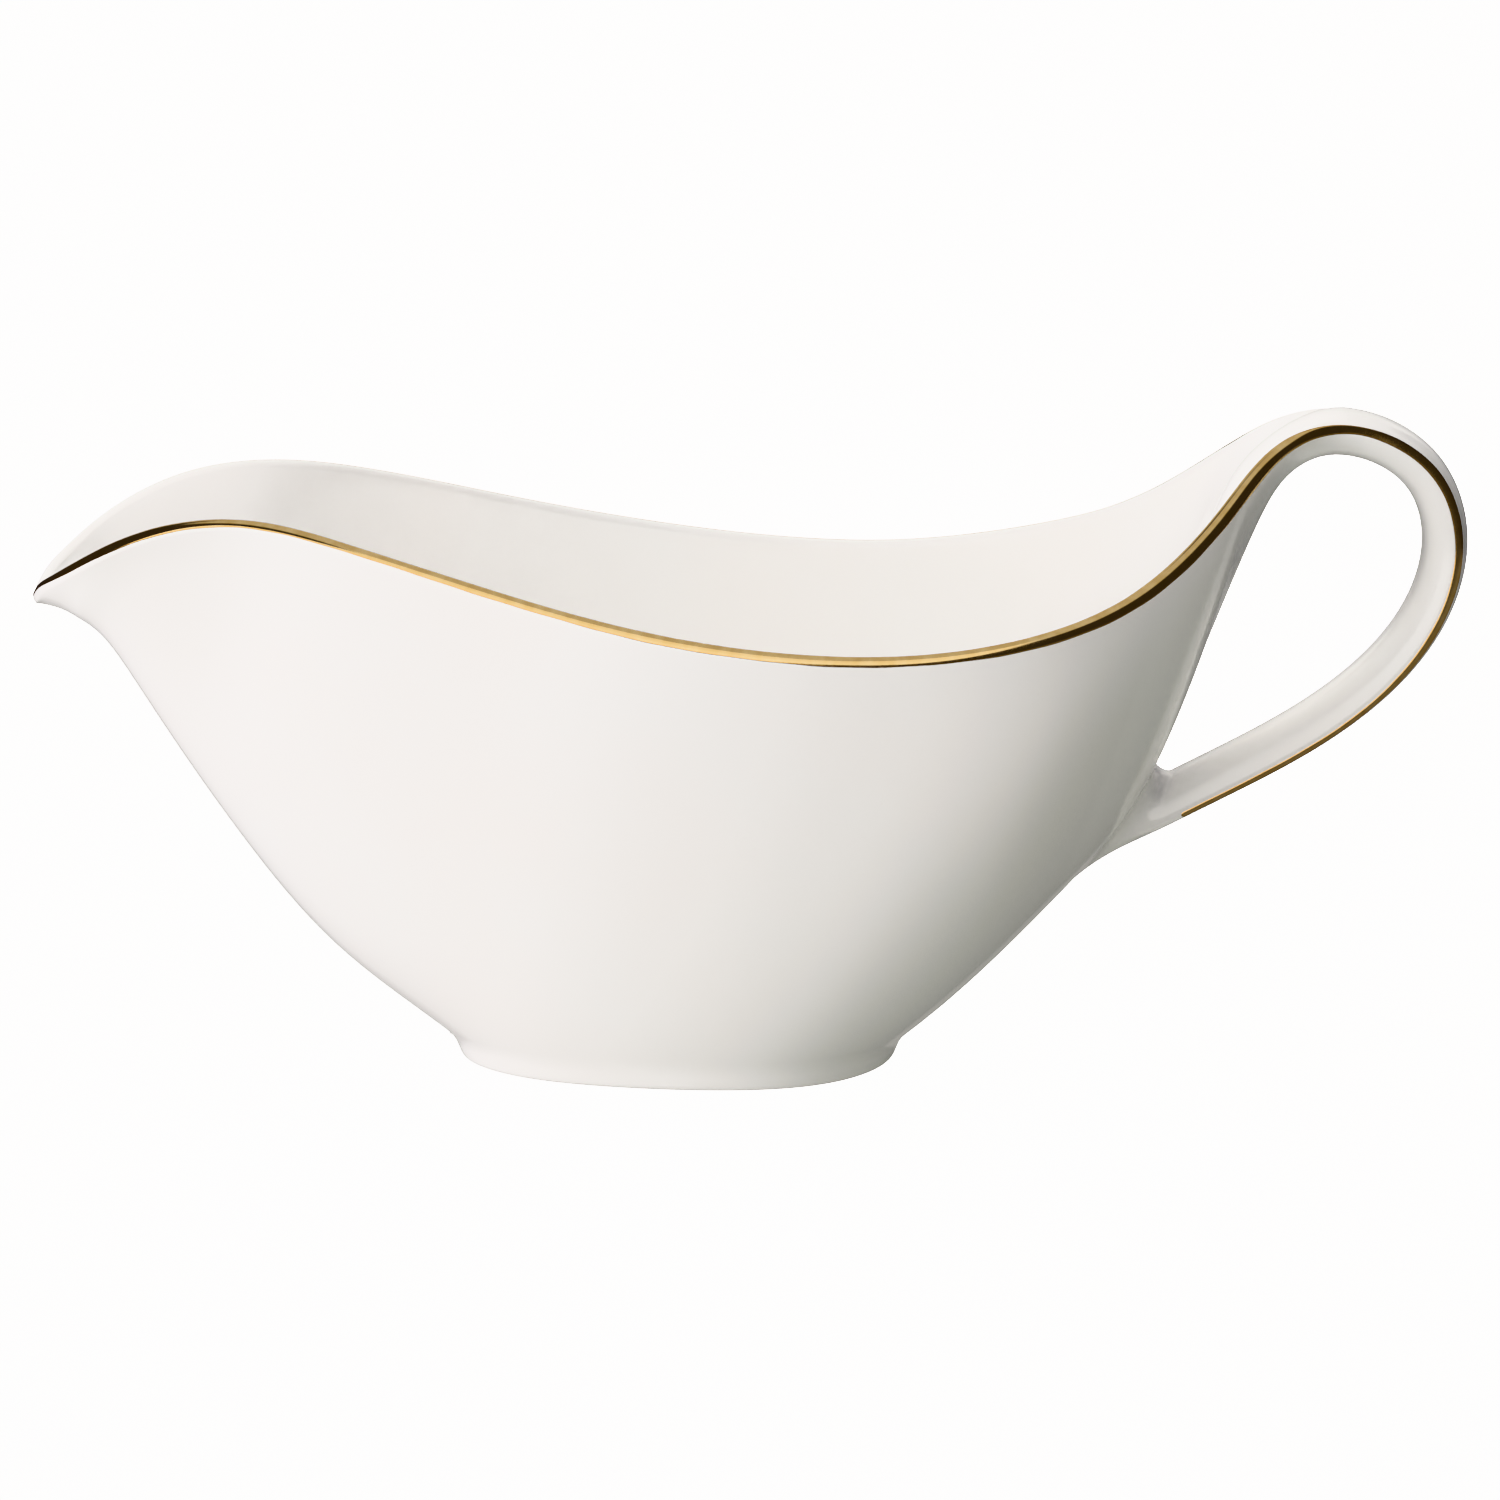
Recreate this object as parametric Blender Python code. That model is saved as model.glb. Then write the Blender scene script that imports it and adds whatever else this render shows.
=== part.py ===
"""Gravy boat in fired china: an open bowl drawn out into a spout, a strap handle that grows
out of the rim and loops back to the wall, an oval foot ring, and a gold line along the rim
and both edges of the handle.  Metres, +Z up, spout towards -X, foot standing on Z = 0."""

import bmesh
import bpy
import numpy as np

# Driving dimensions in millimetres.
LENGTH = 240.0
WIDTH = 86.6
HEIGHT = 111.6
FOOT_LENGTH = 76.6
FOOT_WIDTH = 46.0
FOOT_HEIGHT = 3.9
FOOT_CENTRE = -0.0515 * LENGTH
WALL = 2.9
GAP = 0.3
GOLD_THICK = 0.3
STRAP = 13.9
STRAP_SIDE = 1.9
STRAP_CROWN = 1.15
STRAP_BULGE = 4.5

# Shapes of the curves, as shares of the distance that each one spans: how far the wall keeps
# its direction below the edge, how much further on the strap, how far the outside runs level
# from its middle line, how round the edge is, and how flat it is on top of the strap.
WALL_PULL = 0.44
STRAP_PULL = 0.11
UNDER_PULL = 0.57
EDGE_PULL = 0.55
EDGE_FLAT = 0.25
# The same for the handle's root: how round its flare is, how far up the root the strap's own
# direction is kept, and where its middle lies between its tail and its top.
FLARE_PULL = 0.42
FLARE_CARRY = 0.55
ROOT_MIDDLE = 0.6
# Length of the strap before the wall over which its inner face is drawn back.
DRAWN_BACK = 14.0
# Distance over which directions are measured.
NEAR = 0.1

HALF = (0.5 * LENGTH, 0.5 * WIDTH, HEIGHT)
STRAP_W = 50.0 * STRAP / HALF[1]

# Key stations along the edge that carries the gold line, from the tip of the spout over the
# rim and round the handle.  Each row: along, half width, height, in percent of half the
# length, half the width and the height.
EDGE = (
    (-99.5, 0.0, 72.3),
    (-98.5, 12.5, 74.3),
    (-96.3, 23.6, 76.6),
    (-92.4, 35.8, 79.8),
    (-87.2, 43.4, 83.2),
    (-79.0, 49.6, 86.6),
    (-68.6, 55.4, 87.8),
    (-54.8, 68.2, 85.5),
    (-34.4, 83.9, 79.8),
    (-14.1, 96.0, 74.8),
    (6.0, 100.0, 71.9),
    (19.5, 99.2, 71.5),
    (33.0, 96.1, 72.9),
    (43.1, 89.2, 75.3),
    (50.1, 79.6, 78.0),
    (57.0, 65.9, 82.3),
    (64.2, 46.5, 88.8),
    (67.8, 34.8, 92.4),
    (71.5, 25.8, 95.4),
    (76.2, 19.4, 97.6),
    (82.1, STRAP_W, 98.1),
    (88.9, STRAP_W, 96.0),
    (94.4, STRAP_W, 91.2),
    (97.7, STRAP_W, 81.6),
    (95.1, STRAP_W, 68.4),
    (86.4, STRAP_W, 56.6),
    (76.1, STRAP_W, 48.6),
    (65.7, STRAP_W, 42.5),
    (58.3, STRAP_W, 38.4),
)
FOOT_FRONT, FOOT_BACK, CREST, LAST = 9, 13, 20, len(EDGE) - 1

# Middle line of the outside of the bowl for the stations before and after the foot, and of
# the inside for all stations up to the crest: along and height, in the same percentages.
# Both leave out the first station, the spout's tip, where they start at the edge itself.
KEEL_FRONT = (
    (-97.6, 70.2),
    (-95.8, 69.9),
    (-93.1, 68.6),
    (-90.0, 65.8),
    (-85.5, 58.5),
    (-79.5, 48.0),
    (-70.3, 33.4),
    (-56.9, 16.5),
)
# Over the foot the keel dips under the bowl's flat underside, which cuts it off level.
KEEL_FOOT = ((-42.1, 3.8), (-27.5, -6.5), (-10.3, -10.8), (7.2, -6.5), (21.7, 3.8))
KEEL_BACK = ((31.8, 13.2), (43.5, 26.0), (54.8, 42.2), (59.8, 55.7), (66.4, 74.6), (72.3, 88.7))
FLOOR = (
    (-96.6, 73.0),
    (-94.3, 72.3),
    (-91.0, 70.6),
    (-87.7, 67.6),
    (-83.0, 60.2),
    (-77.2, 49.6),
    (-68.1, 35.2),
    (-55.0, 18.8),
    (-41.5, 8.6),
    (-26.0, 6.5),
    (-10.0, 6.2),
    (6.5, 6.6),
    (20.5, 8.6),
    (30.2, 15.9),
    (41.6, 28.2),
    (52.5, 43.8),
    (57.2, 58.4),
    (62.4, 78.0),
    (68.8, 92.8),
)
# How the wall leaves the edge at each key station, in degrees: 90 is straight down, 0 is
# level towards the middle, as on the strap.
LEAN = (102, 94, 85, 75, 72, 75, 80, 84, 86, 87, 87, 87, 87, 86, 84, 78, 68, 60, 49, 30, 2)
# How far the outer face turns away from that direction: 0 on the bowl, near 90 on the strap.
TURN = (0, 0, 0, 0, 0, 0, 0, 0, 0, 0, 0, 0, 0, 0, 0, 0, 0, 0, 5, 25, 76)


def spline(knots, values, first_slope=None, last_slope=None):
    """Cubic spline through the values, natural at an end unless its slope is given."""
    knots = np.asarray(knots, float)
    values = np.asarray(values, float).reshape(len(knots), -1)
    step = np.diff(knots)
    count = len(knots)
    matrix = np.eye(count)
    right = np.zeros_like(values)
    for i in range(1, count - 1):
        matrix[i, i - 1 : i + 2] = step[i - 1], 2 * (step[i - 1] + step[i]), step[i]
        slope_after = (values[i + 1] - values[i]) / step[i]
        right[i] = 6 * (slope_after - (values[i] - values[i - 1]) / step[i - 1])
    if first_slope is not None:
        matrix[0, :2] = 2 * step[0], step[0]
        right[0] = 6 * ((values[1] - values[0]) / step[0] - first_slope)
    if last_slope is not None:
        matrix[-1, -2:] = step[-1], 2 * step[-1]
        right[-1] = 6 * (last_slope - (values[-1] - values[-2]) / step[-1])
    bend = np.linalg.solve(matrix, right)

    def at(where):
        where = np.atleast_1d(np.asarray(where, float))
        i = np.clip(np.searchsorted(knots, where) - 1, 0, count - 2)
        h = step[i][:, None]
        a = (knots[i + 1] - where)[:, None] / h
        b = 1 - a
        curve = (a**3 - a) * bend[i] + (b**3 - b) * bend[i + 1]
        return a * values[i] + b * values[i + 1] + curve * h * h / 6

    return at


def scaled(rows):
    """Percent rows to millimetres: (along, height) or (along, half width, height)."""
    rows = np.array(rows, float) / 100
    sizes = HALF if rows.shape[1] == 3 else (HALF[0], HALF[2])
    return rows * np.array(sizes)


def unit(v):
    return v / np.linalg.norm(v, axis=-1, keepdims=True)


def bezier(points, count, share=1.0):
    """Points along cubic Beziers, or a share of each; each control point is an (n, 3) array."""
    share = np.broadcast_to(share, len(points[0]))
    t = (share[:, None] * np.linspace(0, 1, count))[:, :, None]
    p = [np.asarray(q)[:, None, :] for q in points]
    return (1 - t) ** 3 * p[0] + 3 * t * (1 - t) ** 2 * p[1] + 3 * t * t * (1 - t) * p[2] + t**3 * p[3]


EDGE_MM = scaled(EDGE)
KNOTS = np.concatenate([[0], np.cumsum(np.linalg.norm(np.diff(EDGE_MM, axis=0), axis=1))])
SPLIT = KNOTS[CREST]
# At the spout's tip the edge runs straight across, so that both sides meet in a round lip.
edge_at = spline(KNOTS, EDGE_MM, first_slope=(0.0, 1.0, 0.0))


def channel(values):
    """A value per key station up to the crest, held constant along the strap."""
    values = list(values) + [values[-1]] * (len(KNOTS) - len(values))
    smooth = spline(KNOTS, values)

    def at(where):
        return np.clip(smooth(where), min(values), max(values))

    return at


def frames(where):
    """Edge points, edge direction, direction into the wall and direction out of its outer face."""
    where = np.asarray(where, float)
    point = edge_at(where)
    ahead = edge_at(np.minimum(where + NEAR / 2, KNOTS[-1]))
    behind = edge_at(np.maximum(where - NEAR / 2, 0.0))
    along = unit(ahead - behind)
    first = where < 1e-6
    along[first] = (0.0, 1.0, 0.0)
    level = along * along[:, 1:2] - np.array((0.0, 1.0, 0.0))
    tip = unit(edge_at([0.6]) - edge_at([0.0]))[0] * np.array((1.0, 0.0, 1.0))
    level[first] = tip
    level = unit(level)
    down = np.cross(along, level)
    lean = np.radians(lean_at(where))
    into = np.cos(lean) * level + np.sin(lean) * down
    out = np.cross(along, into)
    return point, along, into, out


lean_at = channel(LEAN)
turn_at = channel(TURN)
BOWL_STATIONS = CREST - 2
rounding_at = channel([WALL / 2] * BOWL_STATIONS + [1.2, 0.9, 0.6])
half_side_at = channel([WALL / 2] * BOWL_STATIONS + [1.35, 1.15, STRAP_SIDE / 2])
shoulder_at = channel([WALL / 2] * BOWL_STATIONS + [1.0, 0.5, 0.05])
crown_slope_at = channel([0.0] * BOWL_STATIONS + [0.0, 2.0, 16.0])


# Millimetres that the middle lines of the inside and the outside move for each one of the edge
# as they reach the crest.
FLOOR_SPEED, KEEL_SPEED = 2.2, 1.7


def tip_edges():
    """Where the inner and the outer face start at the spout's tip: along and height."""
    point, _, into, out = frames([0.0])
    low = point + into * WALL / 2
    return (low - out * WALL / 2)[:, ::2], (low + out * WALL / 2)[:, ::2]


def beside_strap(where, lift):
    """Middle line of one of the strap's faces, that far from the line its edges lie on."""
    point, _, _, out = frames(where)
    return point[:, ::2] + out[:, ::2] * lift


def middle_line(tip, rows, lift, speed):
    """Middle line of a face: through the tip and the rows to the crest, then along the strap."""
    crest = beside_strap([SPLIT], lift)
    ahead = unit(beside_strap([SPLIT + NEAR], lift) - crest)[0] * speed
    shape = spline(KNOTS[: CREST + 1], np.vstack([tip, scaled(rows), crest]), last_slope=ahead)

    def at(where):
        where = np.atleast_1d(np.asarray(where, float))
        before = shape(np.minimum(where, SPLIT))
        return np.where(where[:, None] < SPLIT, before, beside_strap(where, lift))

    return at


INNER_TIP, OUTER_TIP = tip_edges()
UNDERSIDE = FOOT_HEIGHT + GAP
floor_at = middle_line(INNER_TIP, FLOOR, -STRAP_SIDE / 2 - STRAP_CROWN, FLOOR_SPEED)
KEEL = KEEL_FRONT + KEEL_FOOT + KEEL_BACK
keel_line_at = middle_line(OUTER_TIP, KEEL, STRAP_SIDE / 2 + STRAP_BULGE, KEEL_SPEED)
# How far the floor stays level before the inner wall rises, as a share of the half width.
LEVEL = [0.57] * 7 + [0.58, 0.61, 0.66, 0.71, 0.73, 0.71, 0.66, 0.61, 0.58] + [0.56] * 5
level_at = channel(LEVEL)


def section_slant(point, keel, along, into):
    """How far each section swings along the edge so that it runs straight to its keel point."""
    aim = (keel - point)[:, ::2]
    across = along[:, 0] * aim[:, 1] - along[:, 2] * aim[:, 0]
    swing = into[:, 0] * aim[:, 1] - into[:, 2] * aim[:, 0]
    slant = np.where(np.abs(across) > 1e-3, swing / np.where(across == 0, 1, across), 0)
    return np.clip(slant, -1.2, 1.2)[:, None]


def cut_level(points, where):
    """Share of each outer curve that lies above the flat underside, which ends it there."""
    curve = bezier(points, 80)[:, :, 2]
    share = np.ones(len(where))
    for i in np.nonzero(curve[:, -1] < UNDERSIDE)[0]:
        share[i] = np.interp(-UNDERSIDE, -curve[i], np.linspace(0, 1, 80))
    return share


def sections(where, inner_count, band_count, outer_count):
    """Half sections at the given places, from the inside middle over the edge to the keel."""
    where = np.asarray(where, float)
    point, along, into, out = frames(where)
    turn = np.radians(turn_at(where))
    slope = np.radians(crown_slope_at(where))
    half_side = half_side_at(where)
    rounding = rounding_at(where)
    shoulder = shoulder_at(where)
    side = np.array((0.0, 1.0, 0.0))
    floor = np.zeros_like(point)
    floor[:, ::2] = floor_at(where)
    keel = np.zeros_like(point)
    keel[:, ::2] = keel_line_at(where)
    inner_edge = point + into * rounding - out * half_side
    outer_edge = point + into * shoulder + out * half_side
    slant = section_slant(point, keel, along, into)
    arrive = unit(-into * np.cos(slope) + out * np.sin(slope) + slant * along)
    leave = unit(into * np.cos(turn) + out * np.sin(turn) - slant * along)
    tip = where < 1e-6
    floor[tip] = inner_edge[tip]
    keel[tip] = outer_edge[tip]
    fade = np.clip(where / KNOTS[3], 0, 1)[:, None] ** 0.5
    reach = WALL_PULL * np.abs(np.sum((inner_edge - floor) * arrive, axis=1, keepdims=True))
    wide = level_at(where) * inner_edge[:, 1:2]
    inner = bezier(
        (floor, floor + side * wide * fade, inner_edge - arrive * reach * fade, inner_edge),
        inner_count,
    )
    flat = (EDGE_PULL + EDGE_FLAT * np.sin(turn)) * half_side
    start = inner_edge + arrive * EDGE_PULL * rounding
    end = outer_edge - leave * EDGE_PULL * shoulder
    over = bezier((inner_edge, start, point - out * flat, point), band_count)
    under = bezier((point, point + out * flat, end, outer_edge), band_count)
    reach = np.abs(np.sum((outer_edge - keel) * leave, axis=1, keepdims=True))
    round_down = (WALL_PULL + STRAP_PULL * np.sin(turn)) * reach * fade
    round_in = UNDER_PULL * outer_edge[:, 1:2] * fade
    curve = (outer_edge, outer_edge + leave * round_down, keel + side * round_in, keel)
    outer = bezier(curve, outer_count, cut_level(curve, where))
    return inner, over, under, outer


# Gold line: where it starts and ends across the edge, as arc lengths from the edge point.
GOLD_FROM = [0.0, -0.05, -0.1, -0.15] + [-0.2] * 11 + [-0.35, -0.7, -1.0, -1.1, -0.95, -0.85]
GOLD_TO = [0.9, 1.0, 1.2, 1.4, 1.5, 1.6, 1.65, 1.7, 1.85, 2.0, 2.1, 2.2, 2.4, 2.7, 3.0, 3.1, 3.1]
GOLD_TO += [2.9, 2.1, 1.3, 0.75]
# Along the strap, from the crest to the end of the line.
STRAP_FROM = [-0.85] * (LAST - CREST)
STRAP_TO = [0.75, 0.7, 0.65, 0.5, 0.25, 0.2, 0.2, 0.2]
gold_from_at = channel(GOLD_FROM + STRAP_FROM)
gold_to_at = channel(GOLD_TO + STRAP_TO)

GOLD_END = KNOTS[LAST] - 2.0
ROOT_TAIL, ROOT_TOP = 0.237 * HEIGHT, 0.466 * HEIGHT
ROOT_WIDE = 8.3
ROOT_PULL = 4.5


def dense_half(where):
    """Fine half sections with the arc length of each point, measured from the edge point."""
    inner, over, under, outer = sections(where, 30, 9, 44)
    points = np.concatenate([inner, over[:, 1:], under[:, 1:], outer[:, 1:]], axis=1)
    steps = np.linalg.norm(np.diff(points, axis=1), axis=2)
    length = np.concatenate([np.zeros((len(points), 1)), np.cumsum(steps, axis=1)], axis=1)
    edge = inner.shape[1] + over.shape[1] - 2
    return points, length - length[:, edge : edge + 1]


def at_lengths(points, length, wanted):
    """Points of each half section at the wanted arc lengths."""
    found = np.zeros(wanted.shape + (3,))
    for i in range(len(points)):
        spread = length[i] + np.arange(length.shape[1]) * 1e-9
        for axis in range(3):
            found[i, :, axis] = np.interp(wanted[i], spread, points[i, :, axis])
    return found


def face_normals(where, wanted):
    """Unit normals out of the china at the wanted arc lengths of each half section."""
    before = np.maximum(where - 1.5 * NEAR, 0.0)
    after = before + 3.0 * NEAR
    grids = []
    for place in (before, where, after):
        points, length = dense_half(place)
        low = np.clip(wanted, length[:, :1], length[:, -1:])
        grids.append(at_lengths(points, length, low))
    points, length = dense_half(where)
    ahead = at_lengths(points, length, np.clip(wanted + NEAR, length[:, :1], length[:, -1:]))
    behind = at_lengths(points, length, np.clip(wanted - NEAR, length[:, :1], length[:, -1:]))
    normal = np.cross(grids[2] - grids[0], ahead - behind)
    normal[where < 1e-6, :, 1] = 0.0
    return unit(normal + 1e-12)


def gold_span(where, length):
    """Arc lengths where the gold line starts and ends, kept on the edge at the spout's tip."""
    start = gold_from_at(where)
    end = np.minimum(gold_to_at(where), length[:, -1:] - 2 * GAP)
    return start, end


def grooved_half(where, inner_count, outer_count, deep=1.0):
    """Half sections of the china with the shallow groove that the gold line lies in."""
    points, length = dense_half(where)
    start, end = gold_span(where, length)
    share = np.linspace(0, 1, inner_count)[None, :] ** 0.8
    inner = length[:, :1] + (start - GAP - length[:, :1]) * share
    groove = start - GAP + (end - start + 2 * GAP) * np.linspace(0, 1, 6)[None, :]
    share = np.linspace(0, 1, outer_count)[None, :] ** 1.15
    outer = end + GAP + (length[:, -1:] - end - GAP) * share
    floor = at_lengths(points, length, groove)
    floor = floor - face_normals(where, groove) * (GAP + GOLD_THICK) * deep
    parts = (at_lengths(points, length, inner), floor, at_lengths(points, length, outer))
    return np.concatenate(parts, axis=1)


def rings(half):
    """Closed rings from half sections: out along one side and back along the other."""
    return np.concatenate([half, half[:, ::-1] * np.array((1.0, -1.0, 1.0))], axis=1)


def skin(ring_points, close_start, close_end):
    """Vertices and faces of a tube through the rings, with flat ends where asked."""
    count, around = ring_points.shape[:2]
    faces = []
    for i in range(count - 1):
        for j in range(around):
            k = (j + 1) % around
            here, there = i * around, (i + 1) * around
            faces.append((here + j, here + k, there + k, there + j))
    if close_start:
        faces.append(tuple(range(around))[::-1])
    if close_end:
        faces.append(tuple(range((count - 1) * around, count * around)))
    return ring_points.reshape(-1, 3), faces


def back_wall(height, side):
    """Points of the bowl's outer face behind the foot, by keel height and sideways place."""
    places = np.linspace(KNOTS[FOOT_BACK], KNOTS[FOOT_BACK + 5], 90)
    where = np.interp(height, keel_line_at(places)[:, 1], places)
    rising = sections(where, 3, 3, 60)[3][:, ::-1][:, :40]
    found = np.zeros((len(where), 3))
    for i in range(len(where)):
        for axis in range(3):
            found[i, axis] = np.interp(abs(side[i]), rising[i, :, 1], rising[i, :, axis])
    found[:, 1] *= np.where(side < 0, -1.0, 1.0)
    return found


def back_normal(height, side):
    up = back_wall(height + 0.4, side) - back_wall(height - 0.4, side)
    across = back_wall(height, side + 0.4) - back_wall(height, side - 0.4)
    return unit(np.cross(across, up))


def footprint(share):
    """Outline of the handle's root on the wall: keel height and half width, tail to top."""
    share = np.asarray(share, float)
    tail = np.array(((0.0, 0.0), (0.02, 0.62), (0.40, 1.0), (0.70, 1.0)))
    top = np.array(((0.70, 1.0), (0.88, 1.0), (1.0, 0.62), (1.0, 0.0)))
    rows = []
    for value in share:
        ends, t = (tail, value / 0.6) if value < 0.6 else (top, (value - 0.6) / 0.4)
        b = ((1 - t) ** 3, 3 * t * (1 - t) ** 2, 3 * t * t * (1 - t), t**3)
        rows.append(sum(weight * end for weight, end in zip(b, ends)))
    rows = np.array(rows)
    return ROOT_TAIL + (ROOT_TOP - ROOT_TAIL) * rows[:, 0], ROOT_WIDE * rows[:, 1]


def root_half(last, before, count, lift):
    """Half rings that flare from the end of the strap on to the wall, short of it by the lift."""
    lengths = np.concatenate([[0], np.cumsum(np.linalg.norm(np.diff(last, axis=0), axis=1))])
    height, side = footprint(lengths / lengths[-1])
    wall = back_wall(height, side)
    normal = back_normal(height, side)
    run = np.gradient(wall, axis=0)
    run[0] = (0.0, 1.0, 0.0)
    run[-1] = (0.0, -1.0, 0.0)
    spread = unit(np.cross(normal, unit(run)))
    centre = ROOT_TAIL + (ROOT_TOP - ROOT_TAIL) * ROOT_MIDDLE
    middle = back_wall(np.array([centre]), np.array([0.0]))
    spread *= np.sign(np.sum(spread * (wall - middle), axis=1, keepdims=True))
    wall = wall + normal * lift
    heading = unit(last - before)
    flow = heading - normal * np.sum(heading * normal, axis=1, keepdims=True)
    carry = np.clip(1 - lengths / lengths[-1] / FLARE_CARRY, 0, 1)[:, None]
    carry = carry * carry * (3 - 2 * carry)
    spread = unit(unit(flow) * carry + spread * (1 - carry))
    pull = FLARE_PULL * np.linalg.norm(wall - last, axis=1, keepdims=True)
    flare = bezier((last, last + heading * pull, wall - spread * pull, wall), count)
    return np.swapaxes(flare, 0, 1)[1:]


def root_cap(last, lift):
    """Half rings that shrink over the wall inside the footprint, and end in its middle."""
    lengths = np.concatenate([[0], np.cumsum(np.linalg.norm(np.diff(last, axis=0), axis=1))])
    height, side = footprint(lengths / lengths[-1])
    centre = ROOT_TAIL + (ROOT_TOP - ROOT_TAIL) * ROOT_MIDDLE
    found = []
    for part in (0.7, 0.4, 0.15, 0.0):
        at_height = centre + (height - centre) * part
        wall = back_wall(at_height, side * part)
        found.append(wall + back_normal(at_height, side * part) * lift)
    return np.array(found)


def strap_half(where, counts, deep):
    """Strap half rings; near the wall their inner face is drawn back, for the loop's corner."""
    half = grooved_half(where, *counts, deep=deep)
    fine = np.linspace(KNOTS[LAST] - DRAWN_BACK - 10.0, KNOTS[LAST], 49)
    inner_face = grooved_half(fine, *counts, deep=0.0)
    share = np.clip((np.arange(half.shape[1]) - counts[0] - 6) / (counts[1] - 1), 0, 1)
    share = share * share * (3 - 2 * share)
    ramp = np.clip(1 - (KNOTS[LAST] - where) / DRAWN_BACK, 0, 1)
    for i in np.nonzero(ramp)[0]:
        for j in np.nonzero(share)[0]:
            place = where[i] - ROOT_PULL * share[j] * ramp[i]
            for axis in range(3):
                half[i, j, axis] = np.interp(place, fine, inner_face[:, j, axis])
    return half


# BUILD
def clear_scene():
    for item in list(bpy.context.scene.objects):
        bpy.data.objects.remove(item, do_unlink=True)


def material(name, colour, metallic, roughness):
    made = bpy.data.materials.new(name)
    made.use_nodes = True
    shader = made.node_tree.nodes["Principled BSDF"]
    shader.inputs["Base Color"].default_value = (*colour, 1.0)
    shader.inputs["Metallic"].default_value = metallic
    shader.inputs["Roughness"].default_value = roughness
    made.diffuse_color = (*colour, 1.0)
    return made


def solid(name, points, faces, look):
    """One closed object, in metres, its doubled points merged and its faces turned outwards."""
    mesh = bpy.data.meshes.new(name)
    mesh.from_pydata([tuple(p) for p in np.asarray(points) * 0.001], [], faces)
    work = bmesh.new()
    work.from_mesh(mesh)
    bmesh.ops.remove_doubles(work, verts=work.verts, dist=2e-6)
    bmesh.ops.dissolve_degenerate(work, edges=work.edges, dist=1e-6)
    bmesh.ops.recalc_face_normals(work, faces=work.faces)
    if work.calc_volume(signed=True) < 0:
        bmesh.ops.reverse_faces(work, faces=work.faces)
    work.to_mesh(mesh)
    work.free()
    mesh.materials.append(look)
    made = bpy.data.objects.new(name, mesh)
    bpy.data.collections["gravy_boat"].objects.link(made)
    return made


def bowl(look):
    """The bowl with its spout, rim and floor, up to the crest where the strap begins."""
    spans = ((0, 3, 9), (3, FOOT_FRONT, 15), (FOOT_FRONT, FOOT_BACK, 19), (FOOT_BACK, CREST, 20))
    places = [np.linspace(KNOTS[a], KNOTS[b], n) for a, b, n in spans]
    where = np.unique(np.concatenate(places))
    points, faces = skin(rings(grooved_half(where, 8, 13)), False, True)
    return solid("bowl", points, faces, look)


def handle(look):
    """The strap from the crest round to the back wall, where it flares into its root."""
    counts = (5, 8)
    grooved = strap_half(np.linspace(SPLIT + GAP, GOLD_END, 34), counts, 1.0)
    plain = strap_half(KNOTS[LAST] - np.array((1.7, 0.8, 0.0)), counts, 0.0)
    flare = root_half(plain[2], plain[1], 7, GAP)
    cap = root_cap(plain[2], GAP)
    half = np.concatenate([grooved, plain, flare, cap])
    points, faces = skin(rings(half), True, False)
    return solid("handle", points, faces, look)


def gold_half(where, across):
    """Flat strip sections of the gold line: out along its face and back along its underside."""
    points, length = dense_half(where)
    start, end = gold_span(where, length)
    wanted = start + (end - start) * np.linspace(0, 1, across)[None, :]
    face = at_lengths(points, length, wanted)
    under = face - face_normals(where, wanted) * GOLD_THICK
    return np.concatenate([face, under[:, ::-1]], axis=1)


def gold_rim_line(look):
    """One strip along the whole rim, from the crest round the spout's tip and back."""
    spans = ((0, 3, 9), (3, FOOT_BACK, 30), (FOOT_BACK, CREST, 18))
    places = [np.linspace(KNOTS[a], KNOTS[b], n) for a, b, n in spans]
    where = np.unique(np.concatenate(places))
    half = gold_half(where, 5)
    other = half * np.array((1.0, -1.0, 1.0))
    points, faces = skin(np.concatenate([half[::-1], other[1:]]), True, True)
    return solid("gold_rim_line", points, faces, look)


def gold_handle_line(name, side, look):
    """One strip along an edge of the strap; side is -1 or 1."""
    half = gold_half(np.linspace(SPLIT + GAP, GOLD_END - GAP, 34), 4)
    points, faces = skin(half * np.array((1.0, side, 1.0)), True, True)
    return solid(name, points, faces, look)


def foot_outline(count):
    """Plan of the level cut under the bowl, even in angle about its middle, with its normals."""
    where = np.linspace(KNOTS[FOOT_FRONT], KNOTS[FOOT_BACK], 160)
    cut = sections(where, 2, 2, 2)[3][:, -1]
    angle = np.arctan2(cut[:, 1] * FOOT_LENGTH / FOOT_WIDTH, cut[:, 0] - FOOT_CENTRE)
    order = np.argsort(angle)
    angles = np.linspace(0, 2 * np.pi, count)
    half = np.minimum(angles, 2 * np.pi - angles)
    x = np.interp(half, angle[order], cut[order, 0])
    y = np.interp(half, angle[order], cut[order, 1]) * np.where(angles > np.pi, -1.0, 1.0)
    normal = unit(np.stack([np.cos(angles) / FOOT_LENGTH, np.sin(angles) / FOOT_WIDTH], axis=1))
    return np.stack([x, y], axis=1), normal


def foot_ring(look):
    """Oval ring: its side leans in towards the table, and its underside is flat to stand on."""
    profile = (
        (0.0, FOOT_HEIGHT),
        (1.35, 1.0),
        (1.75, 0.3),
        (2.4, 0.0),
        (4.0, 0.0),
        (4.6, 0.3),
        (4.9, 1.0),
        (4.9, FOOT_HEIGHT),
    )
    outline, normal = foot_outline(65)
    found = np.zeros((len(outline), len(profile), 3))
    for j, (inset, height) in enumerate(profile):
        found[:, j, :2] = outline - normal * inset
        found[:, j, 2] = height
    points, faces = skin(found, False, False)
    return solid("foot_ring", points, faces, look)


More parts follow.
